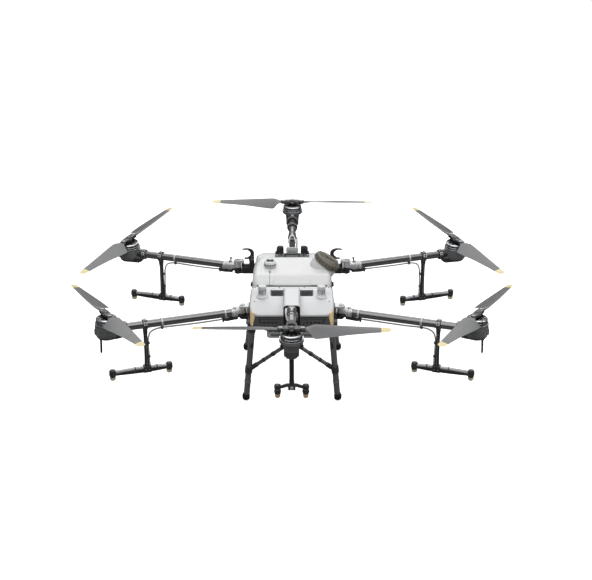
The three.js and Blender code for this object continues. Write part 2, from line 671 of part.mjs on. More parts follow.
// Blade frame: x outward from its pin, z along the pin, in the rotor plane.
// Columns: x, chord, pitch, thickness, share of the chord ahead of the pin.
const BLADE_STATIONS = [
  [14, 30, 0, 9.2, 0.5], [26, 40, 8, 9, 0.46], [62, BLADE_CHORD, 19, 8, 0.32],
  [120, 91, 17, 7, 0.33], [220, 70, 13, 5.4, 0.36], [340, 48, 10, 4, 0.39],
  [418, 34, 8, 3, 0.42], [BLADE_TIP_R - BLADE_PIN_R, 18, 8, 2, 0.45],
];
// [share of chord from the trailing edge, height as a share of thickness]
const BLADE_SECTION = [[1, 0], [0.8, 0.5], [0.35, 0.45], [0, 0], [0.35, -0.35], [0.8, -0.4]];

function makeBlade(spin) {
  const rings = BLADE_STATIONS.map(([x, chord, pitch, thickness, lead]) => {
    const cos = Math.cos(rad(pitch)), sin = Math.sin(rad(pitch));
    return BLADE_SECTION.map(([share, height]) => {
      const y = (share - 1 + lead) * chord, z = height * thickness;
      return vec(x, spin * (y * cos - z * sin), y * sin + z * cos);
    });
  });
  const alongPin = (halfLength, radius, facets) =>
    rod(vec(0, 0, -halfLength), vec(0, 0, halfLength), radius, facets);
  return join(loft(rings), alongPin(4.6, 15, 8), box(0, 16, -12, 12, -4.2, 4.2))
    .subtract(alongPin(20, 6.1, 6));
}

// ---------- arm assemblies ----------
// spin: +1 turns counter-clockwise seen from above. Arms without a fold are the end arms.
const ARMS = [
  { name: 'front_left', hinge: [-FRONT_HINGE_X, -FRONT_HINGE_Y], azimuth: 180 + ARM_SWEEP,
    fold: FRONT_FOLD, cantSign: -1, bladeAzimuth: 119.6, spin: 1 },
  { name: 'front_right', hinge: [FRONT_HINGE_X, -FRONT_HINGE_Y], azimuth: -ARM_SWEEP,
    fold: FRONT_FOLD, cantSign: 1, bladeAzimuth: 60.4, spin: -1 },
  { name: 'rear_left', hinge: [-REAR_HINGE_X, REAR_HINGE_Y], azimuth: 180 - ARM_SWEEP,
    fold: REAR_FOLD, cantSign: 1, bladeAzimuth: 63.4, spin: -1 },
  { name: 'rear_right', hinge: [REAR_HINGE_X, REAR_HINGE_Y], azimuth: ARM_SWEEP,
    fold: REAR_FOLD, cantSign: -1, bladeAzimuth: 116.6, spin: 1 },
  { name: 'front', hinge: [0, -END_HINGE_Y], azimuth: -90,
    cantSign: 0, bladeAzimuth: 179.1, spin: 1 },
  { name: 'back', hinge: [0, END_HINGE_Y], azimuth: 90,
    cantSign: 0, bladeAzimuth: 179, spin: -1 },
];

function foldJoint({ hinge: [x, y], fold }) {
  if (!fold) {
    return { pos: vec(x, y, END_PIN_Z), axis: vec(-Math.sign(y), 0, 0), angle: 90 };
  }
  const side = Math.sign(x), axis = fold.axis.clone();
  axis.x *= side;
  return { pos: vec(x, y, ARM_Z), axis, angle: side * fold.angle };
}

function addRotor({ name, azimuth, bladeAzimuth, spin }, arm, length, cant) {
  const rotor = addTurned(addGroup(place(length, 0, 0, -cant), arm), bladeAzimuth - azimuth);
  addPiece(`rotor_hub_${name}`, makeRotorHub(), 'rotor_metal', rotor);
  rotor.updateWorldMatrix(true, true);
  const axis = vec(0, 0, 1).transformDirection(rotor.matrixWorld);
  const pos = vec(0, 0, ROTOR_OVER_ARM).applyMatrix4(rotor.matrixWorld);
  joints[`spin_${name}`] = { pos, axis, spin };
  for (const [letter, turn] of [['a', 0], ['b', 180]]) {
    const pin = addGroup(place(BLADE_PIN_R, 0, ROTOR_OVER_ARM), addTurned(rotor, turn));
    addPiece(`blade_${name}_${letter}`, makeBlade(spin), 'blade_grey', pin);
    pin.updateWorldMatrix(true, true);
    joints[`blade_pin_${name}_${letter}`] = {
      pos: vec(0, 0, 0).applyMatrix4(pin.matrixWorld), axis: axis.clone(),
    };
  }
}

function addArm(spec) {
  const { name, hinge: [hingeX, hingeY], azimuth, fold, cantSign } = spec;
  const isEnd = !fold, cosSweep = Math.cos(rad(ARM_SWEEP));
  const fromHinge = (x) => (x - Math.abs(hingeX)) / cosSweep;   // machine x to distance along arm
  const length = isEnd ? END_MOTOR_Y - END_HINGE_Y : fromHinge(SIDE_MOTOR_X);
  const clipX = isEnd ? [118, 196] : [Math.max(80, fromHinge(352)), fromHinge(674)];
  const cant = ROTOR_CANT * cantSign;

  const arm = addTurned(drone, azimuth);
  arm.position.set(hingeX, hingeY, isEnd ? END_ARM_Z : ARM_Z);
  const joint = foldJoint(spec);
  joints[`fold_${name}`] = joint;
  const root = isEnd ? endArmRoot()
    : sideArmRoot(joint.axis.clone().applyAxisAngle(vec(0, 0, 1), -rad(azimuth)));
  addPiece(`arm_tube_${name}`, makeArmTube(root, length, clipX), 'carbon', arm);
  addPiece(`motor_mount_${name}`, makeMotorMount(length, cant, isEnd), 'moulded_grey', arm);
  addPiece(`spray_lance_${name}`, makeLance(length, isEnd), 'black_plastic', arm);
  addRotor(spec, arm, length, cant);
}

// ---------- assembly ----------
addPiece('tank', makeTank(), 'tank_white');
addPiece('tank_lid', makeLid(), 'lid_olive', addGroup(neckPlace));
addPiece('vent_cap', makeVentCap(), 'cap_white', addGroup(place(VENT.x, VENT.y, TANK_TOP_Z)));
addPiece('centre_frame', makeCentreFrame(), 'frame_black');
addSidePair('hinge_bracket_front', makeSideBracket(
  FRONT_HINGE_X, -FRONT_HINGE_Y, FRONT_BULKHEAD_HALF_W + POST_GAP, FRONT_FOLD.axis), 'hook_black');
addSidePair('hinge_bracket_rear', makeSideBracket(
  REAR_HINGE_X, REAR_HINGE_Y, REAR_BULKHEAD_HALF_W + POST_GAP, REAR_FOLD.axis), 'hook_black');
addPiece('hinge_bracket_front', makeEndBracket(), 'collar_white');
addPiece('hinge_bracket_back', mirrored(makeEndBracket(), 1), 'collar_white');
addPiece('nose_spine_cover', makeSpineCover(), 'white_shell');
addSidePair('accent_lamp', makeLamp(), 'lamp_orange');
addPiece('front_shell', makeFrontShell(), 'white_shell');
addPiece('front_lower_cover', makeLowerCover(), 'dark_cover');
addPiece('rear_cover', makeRearCover(), 'white_shell');
addPiece('cooling_grille', makeGrille(), 'black_plastic');
addPiece('battery', makeBattery(), 'battery_grey');
addPiece('pump_unit', makePump(), 'white_shell');
addSidePair('landing_gear', makeGear(), 'carbon');
addSidePair('catch_hook', makeCatchHook(), 'hook_black');
ARMS.forEach(addArm);

joints.lid = {
  pos: vec(0, 0, 0).applyMatrix4(neckPlace),
  axis: vec(0, 0, 1).transformDirection(neckPlace),
};
joints.vent = { pos: vec(VENT.x, VENT.y, TANK_TOP_Z + VENT.stubHeight), axis: vec(0, 0, 1) };

// Moves the middle of the overall length to the origin.
drone.updateMatrixWorld(true);
const whole = new THREE.Box3().setFromObject(drone, true);
const shiftY = -(whole.min.y + whole.max.y) / 2;
for (const child of drone.children) child.position.y += shiftY;
for (const joint of Object.values(joints)) joint.pos.y += shiftY;
drone.userData.shiftY = shiftY;

export default drone;
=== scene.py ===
import math

import bmesh
import bpy
from mathutils import Matrix, Vector


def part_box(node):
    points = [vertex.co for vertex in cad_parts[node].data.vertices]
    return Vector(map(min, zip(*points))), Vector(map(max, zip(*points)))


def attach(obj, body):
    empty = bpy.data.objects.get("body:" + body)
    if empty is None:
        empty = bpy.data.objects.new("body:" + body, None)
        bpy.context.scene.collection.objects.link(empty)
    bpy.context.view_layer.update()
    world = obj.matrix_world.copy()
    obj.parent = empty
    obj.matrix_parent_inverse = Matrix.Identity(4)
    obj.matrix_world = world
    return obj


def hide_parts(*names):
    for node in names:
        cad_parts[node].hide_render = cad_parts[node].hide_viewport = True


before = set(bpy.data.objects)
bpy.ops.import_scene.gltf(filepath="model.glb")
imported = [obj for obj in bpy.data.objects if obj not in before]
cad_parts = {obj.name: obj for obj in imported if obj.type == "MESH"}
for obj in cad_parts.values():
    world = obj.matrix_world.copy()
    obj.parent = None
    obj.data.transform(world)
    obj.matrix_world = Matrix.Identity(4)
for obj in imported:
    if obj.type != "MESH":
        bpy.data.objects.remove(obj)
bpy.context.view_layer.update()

rad, sin, cos = math.radians, math.sin, math.cos

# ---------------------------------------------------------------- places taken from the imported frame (mm)
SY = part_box("tank")[0].y * 1000 + 124.0          # the frame's shift along Y
ARM_Z, END_ARM_Z, PIN_DROP = 527.0, 619.0, 46.0
FRONT_HX, REAR_HX, END_HY = 258.0, 310.0, 430.0
SWEEP, CANT, PIN_R, TIP_R, CHORD = 17.5, 3.5, 54.0, 482.5, 98.0
TUBE_R, KN_H, RISE = 20.5, 24.0, 8.8
SIDE_X, SIDE_Y, END_Y = 946.5, 504.5, 860.0
SLOPE = math.tan(rad(SWEEP))
FRONT_HY, REAR_HY = SIDE_Y - (SIDE_X - FRONT_HX) * SLOPE, SIDE_Y - (SIDE_X - REAR_HX) * SLOPE
BLADE_AZ = {"fl": 119.6, "fr": 60.4, "rl": 63.4, "rr": 116.6, "f": 179.1, "b": 179.0}
SPIN = {"fl": 1, "fr": -1, "rl": -1, "rr": 1, "f": 1, "b": -1}
CANT_SIGN = {"fl": -1, "fr": 1, "rl": 1, "rr": -1, "f": 0, "b": 0}
HOME = Matrix.Translation((0, SY, 0))


# ---------------------------------------------------------------- materials
class Nodes:
    def __init__(self, name):
        self.m = bpy.data.materials.new(name)
        self.m.use_nodes = True
        self.t = self.m.node_tree
        self.t.nodes.clear()
        self.out = self.n("ShaderNodeOutputMaterial")
        self.b = self.n("ShaderNodeBsdfPrincipled")
        self.l(self.b.outputs[0], self.out.inputs[0])
        self.tc = self.n("ShaderNodeTexCoord")

    def n(self, kind, **props):
        x = self.t.nodes.new(kind)
        for k, v in props.items():
            setattr(x, k, v)
        return x

    def l(self, a, b):
        self.t.links.new(a, b)

    def val(self, sock, v):
        if hasattr(v, "is_output") or hasattr(v, "links"):
            self.l(v, sock)
        else:
            sock.default_value = v

    def math(self, op, a, b=None, c=None):
        x = self.n("ShaderNodeMath", operation=op)
        for i, v in enumerate((a, b, c)):
            if v is not None:
                self.val(x.inputs[i], v)
        return x.outputs[0]

    def noise(self, scale, detail=3.0, rough=0.55, vec=None, stretch=None):
        v = vec or self.tc.outputs["Object"]
        if stretch:
            mp = self.n("ShaderNodeMapping")
            mp.inputs["Scale"].default_value = stretch
            self.l(v, mp.inputs["Vector"])
            v = mp.outputs[0]
        x = self.n("ShaderNodeTexNoise")
        x.inputs["Scale"].default_value = scale
        x.inputs["Detail"].default_value = detail
        x.inputs["Roughness"].default_value = rough
        self.l(v, x.inputs["Vector"])
        return x.outputs["Fac"]

    def ramp(self, fac, lo, hi, a=0.0, b=1.0):
        x = self.n("ShaderNodeMapRange", clamp=True)
        x.inputs["From Min"].default_value, x.inputs["From Max"].default_value = lo, hi
        x.inputs["To Min"].default_value, x.inputs["To Max"].default_value = a, b
        self.l(fac, x.inputs["Value"])
        return x.outputs[0]

    def mix(self, fac, a, b):
        x = self.n("ShaderNodeMix", data_type="RGBA")
        self.val(x.inputs[0], fac)
        for s, v in ((x.inputs[6], a), (x.inputs[7], b)):
            if isinstance(v, tuple):
                s.default_value = (*v, 1.0)
            else:
                self.l(v, s)
        return x.outputs[2]

    def bump(self, height, strength, dist, chain=None):
        x = self.n("ShaderNodeBump")
        x.inputs["Strength"].default_value = strength
        x.inputs["Distance"].default_value = dist
        self.l(height, x.inputs["Height"])
        if chain is not None:
            self.l(chain, x.inputs["Normal"])
        return x.outputs[0]

    def set(self, **kw):
        for k, v in kw.items():
            self.val(self.b.inputs[k.replace("_", " ")], v)


def tint(c, k):
    return tuple(min(1.0, max(0.0, x * k)) for x in c)


def finish(name, colour, rough=0.45, metal=0.0, grain=900.0, depth=0.00012, strength=0.25, vary=0.12,
           wear=None, coat=0.0, dust=0.0, sss=0.0, brushed=None, spec=0.5):
    """A moulded, cast or painted surface: tone drift, handling marks, fine surface grain and rubbed edges."""
    n = Nodes(name)
    drift = n.ramp(n.noise(7.0, 4.0), 0.3, 0.7)
    c = n.mix(drift, tint(colour, 1.0 - vary), tint(colour, 1.0 + vary * 0.5))
    specks = n.ramp(n.noise(170.0, 2.0, 0.7), 0.62, 0.74, 0.0, 0.35)
    c = n.mix(specks, c, tint(colour, 0.82))
    if wear:
        geo = n.n("ShaderNodeNewGeometry")
        edge = n.ramp(geo.outputs["Pointiness"], 0.515, 0.60, 0.0, 1.0)
        chips = n.math("MULTIPLY", edge, n.ramp(n.noise(230.0, 4.0, 0.7), 0.42, 0.62, 0.15, 1.0))
        c = n.mix(chips, c, wear)
    if dust:
        geo2 = n.n("ShaderNodeNewGeometry")
        sep = n.n("ShaderNodeSeparateXYZ")
        n.l(geo2.outputs["Normal"], sep.inputs[0])
        up = n.ramp(sep.outputs["Z"], 0.35, 1.0, 0.0, dust)
        c = n.mix(n.math("MULTIPLY", up, n.ramp(n.noise(60.0, 5.0, 0.65), 0.35, 0.7)), c, (0.62, 0.60, 0.56))
    marks = n.noise(38.0, 5.0, 0.6, stretch=(1.0, 1.0, 0.35))
    r = n.ramp(marks, 0.3, 0.75, max(0.03, rough - 0.07), min(1.0, rough + 0.11))
    if brushed:
        lines = n.noise(brushed[0], 2.0, 0.6, stretch=brushed[1])
        nm = n.bump(lines, 0.35, 0.00008)
        nm = n.bump(n.noise(grain, 2.0), strength, depth, nm)
        r = n.math("ADD", r, n.ramp(lines, 0.3, 0.7, -0.06, 0.10))
    else:
        nm = n.bump(n.noise(grain, 2.0, 0.6), strength, depth)
        nm = n.bump(n.noise(26.0, 2.0), 0.10, 0.0006, nm)
    n.set(Base_Color=c, Roughness=r, Metallic=metal, Normal=nm, Coat_Weight=coat, Coat_Roughness=0.12, Specular_IOR_Level=spec)
    if sss:
        n.set(Subsurface_Weight=sss, Subsurface_Scale=0.012)
        n.b.inputs["Subsurface Radius"].default_value = (1.0, 0.95, 0.9)
    return n.m


def carbon(name, mapped, low=(0.010, 0.0105, 0.012), high=(0.030, 0.031, 0.034)):
    """Clear-coated 2x2 twill. mapped: laid out along the tube by its own map; otherwise in the part's own XY plane."""
    n = Nodes(name)
    sep = n.n("ShaderNodeSeparateXYZ")
    if mapped:
        uv = n.n("ShaderNodeUVMap", uv_map="weave")
        n.l(uv.outputs[0], sep.inputs[0])
        k = 1.0 / 2.2
    else:
        n.l(n.tc.outputs["Object"], sep.inputs[0])
        k = 1000.0 / 2.2
    u, v = n.math("MULTIPLY", sep.outputs[0], k), n.math("MULTIPLY", sep.outputs[1], k)
    cell = n.math("ADD", n.math("FLOOR", u), n.math("FLOOR", v))
    over = n.math("LESS_THAN", n.math("FLOORED_MODULO", cell, 4.0), 1.5)
    pu = n.math("PINGPONG", n.math("ADD", u, 0.0), 0.5)
    pv = n.math("PINGPONG", n.math("ADD", v, 0.0), 0.5)
    a = n.math("MULTIPLY", over, pu)
    b = n.math("MULTIPLY", n.math("SUBTRACT", 1.0, over), pv)
    h = n.math("ADD", a, b)
    c = n.mix(over, low, high)
    c = n.mix(n.ramp(n.noise(20.0, 3.0), 0.35, 0.7, 0.0, 0.35), c, tint(high, 0.6))
    nm = n.bump(h, 0.30, 0.0002)
    r = n.ramp(n.noise(50.0, 4.0), 0.3, 0.7, 0.24, 0.36)
    n.set(Base_Color=c, Roughness=r, Normal=nm, Coat_Weight=1.0, Coat_Roughness=0.10, Coat_IOR=2.6, Specular_IOR_Level=0.4)
    return n.m


def ringed(name, colour, rough, metal, axis_scale=1600.0):
    """Turned metal: fine circumferential lines, seen as bands across the height."""
    n = Nodes(name)
    lines = n.noise(axis_scale, 2.0, 0.5, stretch=(0.02, 0.02, 1.0))
    c = n.mix(n.ramp(lines, 0.35, 0.65), tint(colour, 0.86), tint(colour, 1.08))
    c = n.mix(n.ramp(n.noise(25.0, 4.0), 0.5, 0.8, 0.0, 0.3), c, tint(colour, 0.7))
    nm = n.bump(lines, 0.35, 0.0001)
    n.set(Base_Color=c, Roughness=n.ramp(n.noise(60.0, 4.0), 0.3, 0.7, rough - 0.05, rough + 0.1), Metallic=metal, Normal=nm)
    return n.m


def woven_grille(name):
    n = Nodes(name)
    v = n.n("ShaderNodeTexVoronoi", feature="DISTANCE_TO_EDGE")
    v.inputs["Scale"].default_value = 260.0
    v.inputs["Randomness"].default_value = 0.15
    n.l(n.tc.outputs["Object"], v.inputs["Vector"])
    wire = n.ramp(v.outputs["Distance"], 0.06, 0.16, 1.0, 0.0)
    c = n.mix(wire, (0.030, 0.031, 0.033), (0.22, 0.225, 0.23))
    c = n.mix(n.ramp(n.noise(40.0, 3.0), 0.45, 0.7, 0.0, 0.3), c, (0.09, 0.088, 0.082))
    n.set(Base_Color=c, Roughness=n.ramp(n.noise(90.0, 2.0), 0.3, 0.7, 0.45, 0.65), Normal=n.bump(wire, 0.6, 0.0008))
    return n.m


def lens(name):
    n = Nodes(name)
    sep = n.n("ShaderNodeSeparateXYZ")
    n.l(n.tc.outputs["Object"], sep.inputs[0])
    ribs = n.math("PINGPONG", n.math("MULTIPLY", sep.outputs[2], 160.0), 0.5)
    c = n.mix(n.ramp(ribs, 0.05, 0.45), (0.74, 0.50, 0.22), (0.95, 0.76, 0.44))
    c = n.mix(n.ramp(n.noise(60.0, 3.0), 0.4, 0.7, 0.0, 0.4), c, (0.88, 0.64, 0.32))
    n.set(Base_Color=c, Roughness=n.ramp(n.noise(45.0, 3.0), 0.3, 0.7, 0.14, 0.26), Normal=n.bump(ribs, 0.25, 0.0006), Coat_Weight=0.8,
          Coat_Roughness=0.04, Subsurface_Weight=0.25, Subsurface_Scale=0.008, Emission_Color=c, Emission_Strength=0.27)
    return n.m


def blade_skin(name, colour, streak):
    """Moulded fibre-filled nylon: flow streaks running out along the blade and a fine matt grain."""
    n = Nodes(name)
    uv = n.n("ShaderNodeUVMap", uv_map="weave")
    mp = n.n("ShaderNodeMapping")
    mp.inputs["Scale"].default_value = (0.02, 0.35, 1.0)
    n.l(uv.outputs[0], mp.inputs["Vector"])
    st = n.n("ShaderNodeTexNoise")
    st.inputs["Scale"].default_value = 1.6
    st.inputs["Detail"].default_value = 6.0
    n.l(mp.outputs[0], st.inputs["Vector"])
    c = n.mix(n.ramp(st.outputs["Fac"], 0.3, 0.7), tint(colour, 1 - streak), tint(colour, 1 + streak))
    c = n.mix(n.ramp(n.noise(9.0, 3.0), 0.4, 0.7, 0.0, 0.4), c, tint(colour, 1.12))
    scuff = n.ramp(n.noise(140.0, 5.0, 0.72), 0.60, 0.75, 0.0, 0.22)
    c = n.mix(scuff, c, tint(colour, 1.35))
    nm = n.bump(n.noise(1100.0, 2.0), 0.22, 0.0001)
    nm = n.bump(st.outputs["Fac"], 0.12, 0.0003, nm)
    n.set(Base_Color=c, Roughness=n.ramp(n.noise(50.0, 4.0), 0.3, 0.7, 0.30, 0.44), Normal=nm, Specular_IOR_Level=0.6, Coat_Weight=0.25, Coat_Roughness=0.22)
    return n.m


MAT = {
    "shell": finish("white_painted_shell", (0.74, 0.75, 0.76), 0.36, grain=1500, depth=0.00006, vary=0.04, coat=0.25, dust=0.05),
    "tank": finish("tank_moulded_white", (0.80, 0.81, 0.80), 0.34, grain=700, depth=0.0001, vary=0.035, coat=0.2, sss=0.12),
    "neck": finish("neck_cream_plastic", (0.70, 0.70, 0.64), 0.42, vary=0.06, sss=0.1),
    "dark": finish("dark_grey_cover", (0.128, 0.131, 0.135), 0.46, grain=1200, vary=0.18, wear=(0.17, 0.17, 0.17), dust=0.10),
    "carbon": carbon("carbon_tube_twill", True),
    # landing-gear carbon: the tube twill with lighter tones, a painted highlight for the gloss on the legs
    "leg": carbon("carbon_leg_twill_painted_highlight", True, (0.040, 0.041, 0.044), (0.098, 0.100, 0.105)),
    "plate": carbon("carbon_plate_twill", False),
    "grey": finish("moulded_mid_grey", (0.165, 0.170, 0.175), 0.44, grain=1000, vary=0.14, wear=(0.34, 0.34, 0.34), dust=0.06, coat=0.15),
    "black": finish("black_moulding", (0.020, 0.021, 0.022), 0.42, grain=1000, vary=0.25, wear=(0.12, 0.12, 0.12), dust=0.05, coat=0.2),
    "rubber": finish("black_rubber", (0.016, 0.016, 0.017), 0.72, grain=500, depth=0.0003, strength=0.5, vary=0.3, dust=0.22, spec=0.35),
    "alu": ringed("machined_aluminium", (0.72, 0.73, 0.75), 0.26, 0.95),
    "cast": finish("cast_aluminium", (0.62, 0.63, 0.65), 0.36, 0.85, grain=420, depth=0.0003, strength=0.35, vary=0.12, wear=(0.8, 0.8, 0.82)),
    "anod": ringed("black_anodised", (0.030, 0.031, 0.033), 0.30, 0.75),
    "bell": ringed("motor_bell_grey", (0.145, 0.15, 0.16), 0.34, 0.65, 900.0),
    "steel": finish("screw_steel", (0.55, 0.56, 0.58), 0.28, 0.95, grain=600, vary=0.15),
    "screw": finish("screw_blackened", (0.020, 0.020, 0.022), 0.34, 0.7, grain=600, vary=0.2),
    "collar": finish("collar_silver_white", (0.66, 0.67, 0.68), 0.32, 0.35, grain=700, vary=0.08, wear=(0.85, 0.85, 0.86), coat=0.2),
    "lid": finish("lid_olive_grey", (0.150, 0.139, 0.112), 0.50, grain=800, depth=0.0002, vary=0.16, wear=(0.30, 0.28, 0.24), dust=0.12),
    "grip": finish("lid_grip_olive", (0.225, 0.212, 0.178), 0.46, grain=800, depth=0.0002, vary=0.14, wear=(0.40, 0.38, 0.33), dust=0.14),
    "hook": finish("hook_black_metal", (0.018, 0.018, 0.019), 0.34, 0.35, grain=700, vary=0.2, wear=(0.16, 0.16, 0.17)),
    "frame": finish("frame_black", (0.024, 0.025, 0.027), 0.48, 0.2, grain=700, vary=0.2, wear=(0.14, 0.14, 0.15)),
    "bat": finish("battery_case_grey", (0.105, 0.11, 0.115), 0.52, grain=1100, depth=0.0002, vary=0.12, wear=(0.22, 0.22, 0.22), dust=0.15),
    "cap": finish("cap_white_plastic", (0.78, 0.79, 0.79), 0.40, vary=0.06, dust=0.04),
    "amber": lens("amber_lens"),
    "hose": finish("hose_clear_white", (0.80, 0.81, 0.80), 0.22, grain=300, depth=0.0001, vary=0.06, coat=0.6, sss=0.3),
    "orange": finish("nozzle_cap_apricot", (0.90, 0.60, 0.36), 0.38, vary=0.08, sss=0.15, coat=0.3),
    "cream": finish("nozzle_disc_cream", (0.90, 0.82, 0.62), 0.36, vary=0.06, sss=0.15),
    "mesh": woven_grille("grille_mesh"),
    # painted shade: dark colour for the strip that darkens the shadowed gap behind the front shell
    "gap_shade": finish("tank_gap_painted_shade", (0.10, 0.10, 0.10), 0.6, grain=500, depth=0.0002, vary=0.2),
    "blade": blade_skin("blade_grey_nylon", (0.140, 0.142, 0.146), 0.16),
    "tip": blade_skin("blade_tip_yellow", (0.82, 0.71, 0.37), 0.06),
    "green": finish("seal_green_grey", (0.28, 0.30, 0.26), 0.5, vary=0.1),
}
NAMES = list(MAT)
MI = {k: i for i, k in enumerate(NAMES)}


# ---------------------------------------------------------------- mesh builder (mm, in a local frame)
def T(x, y, z):
    return Matrix.Translation((x, y, z))


def R(deg, axis):
    return Matrix.Rotation(rad(deg), 4, axis)


def basis(x, y, z, p=(0, 0, 0)):
    return Matrix(((x[0], y[0], z[0], p[0]), (x[1], y[1], z[1], p[1]), (x[2], y[2], z[2], p[2]), (0, 0, 0, 1)))


def along(a, b):
    """Frame at a with its z axis towards b, and the distance."""
    a, b = Vector(a), Vector(b)
    d = b - a
    return T(*a) @ d.to_track_quat("Z", "Y").to_matrix().to_4x4(), d.length


def pchip(xs, ys, x):
    n = len(xs)
    if x <= xs[0]:
        return ys[0]
    if x >= xs[-1]:
        return ys[-1]
    h = [xs[i + 1] - xs[i] for i in range(n - 1)]
    s = [(ys[i + 1] - ys[i]) / h[i] for i in range(n - 1)]
    d = [s[0]] + [0 if s[i - 1] * s[i] <= 0 else 2 * s[i - 1] * s[i] / (s[i - 1] + s[i]) for i in range(1, n - 1)] + [s[-1]]
    i = max(k for k in range(n - 1) if xs[k] <= x)
    t = (x - xs[i]) / h[i]
    return ((1 + 2 * t) * (1 - t) ** 2 * ys[i] + t * (1 - t) ** 2 * h[i] * d[i] + t * t * (3 - 2 * t) * ys[i + 1] + t * t * (t - 1) * h[i] * d[i + 1])


def catmull(pts, per):
    p = [Vector(q) for q in pts]
    p = [p[0] * 2 - p[1]] + p + [p[-1] * 2 - p[-2]]
    out = []
    for i in range(1, len(p) - 2):
        for k in range(per):
            t = k / per
            a, b, c, d = p[i - 1], p[i], p[i + 1], p[i + 2]
            out.append(0.5 * ((2 * b) + (c - a) * t + (2 * a - 5 * b + 4 * c - d) * t * t + (3 * b - a - 3 * c + d) * t ** 3))
    out.append(p[-2])
    return out


def rrect(x0, x1, z0, z1, r, k=5):
    out = []
    r = min(r, (x1 - x0) / 2 - 0.01, (z1 - z0) / 2 - 0.01)
    for cx, cz, a0 in ((x1 - r, z1 - r, 0), (x0 + r, z1 - r, 90), (x0 + r, z0 + r, 180), (x1 - r, z0 + r, 270)):
        for i in range(k + 1):
            a = rad(a0 + 90 * i / k)
            out.append((cx + r * cos(a), cz + r * sin(a)))
    return out


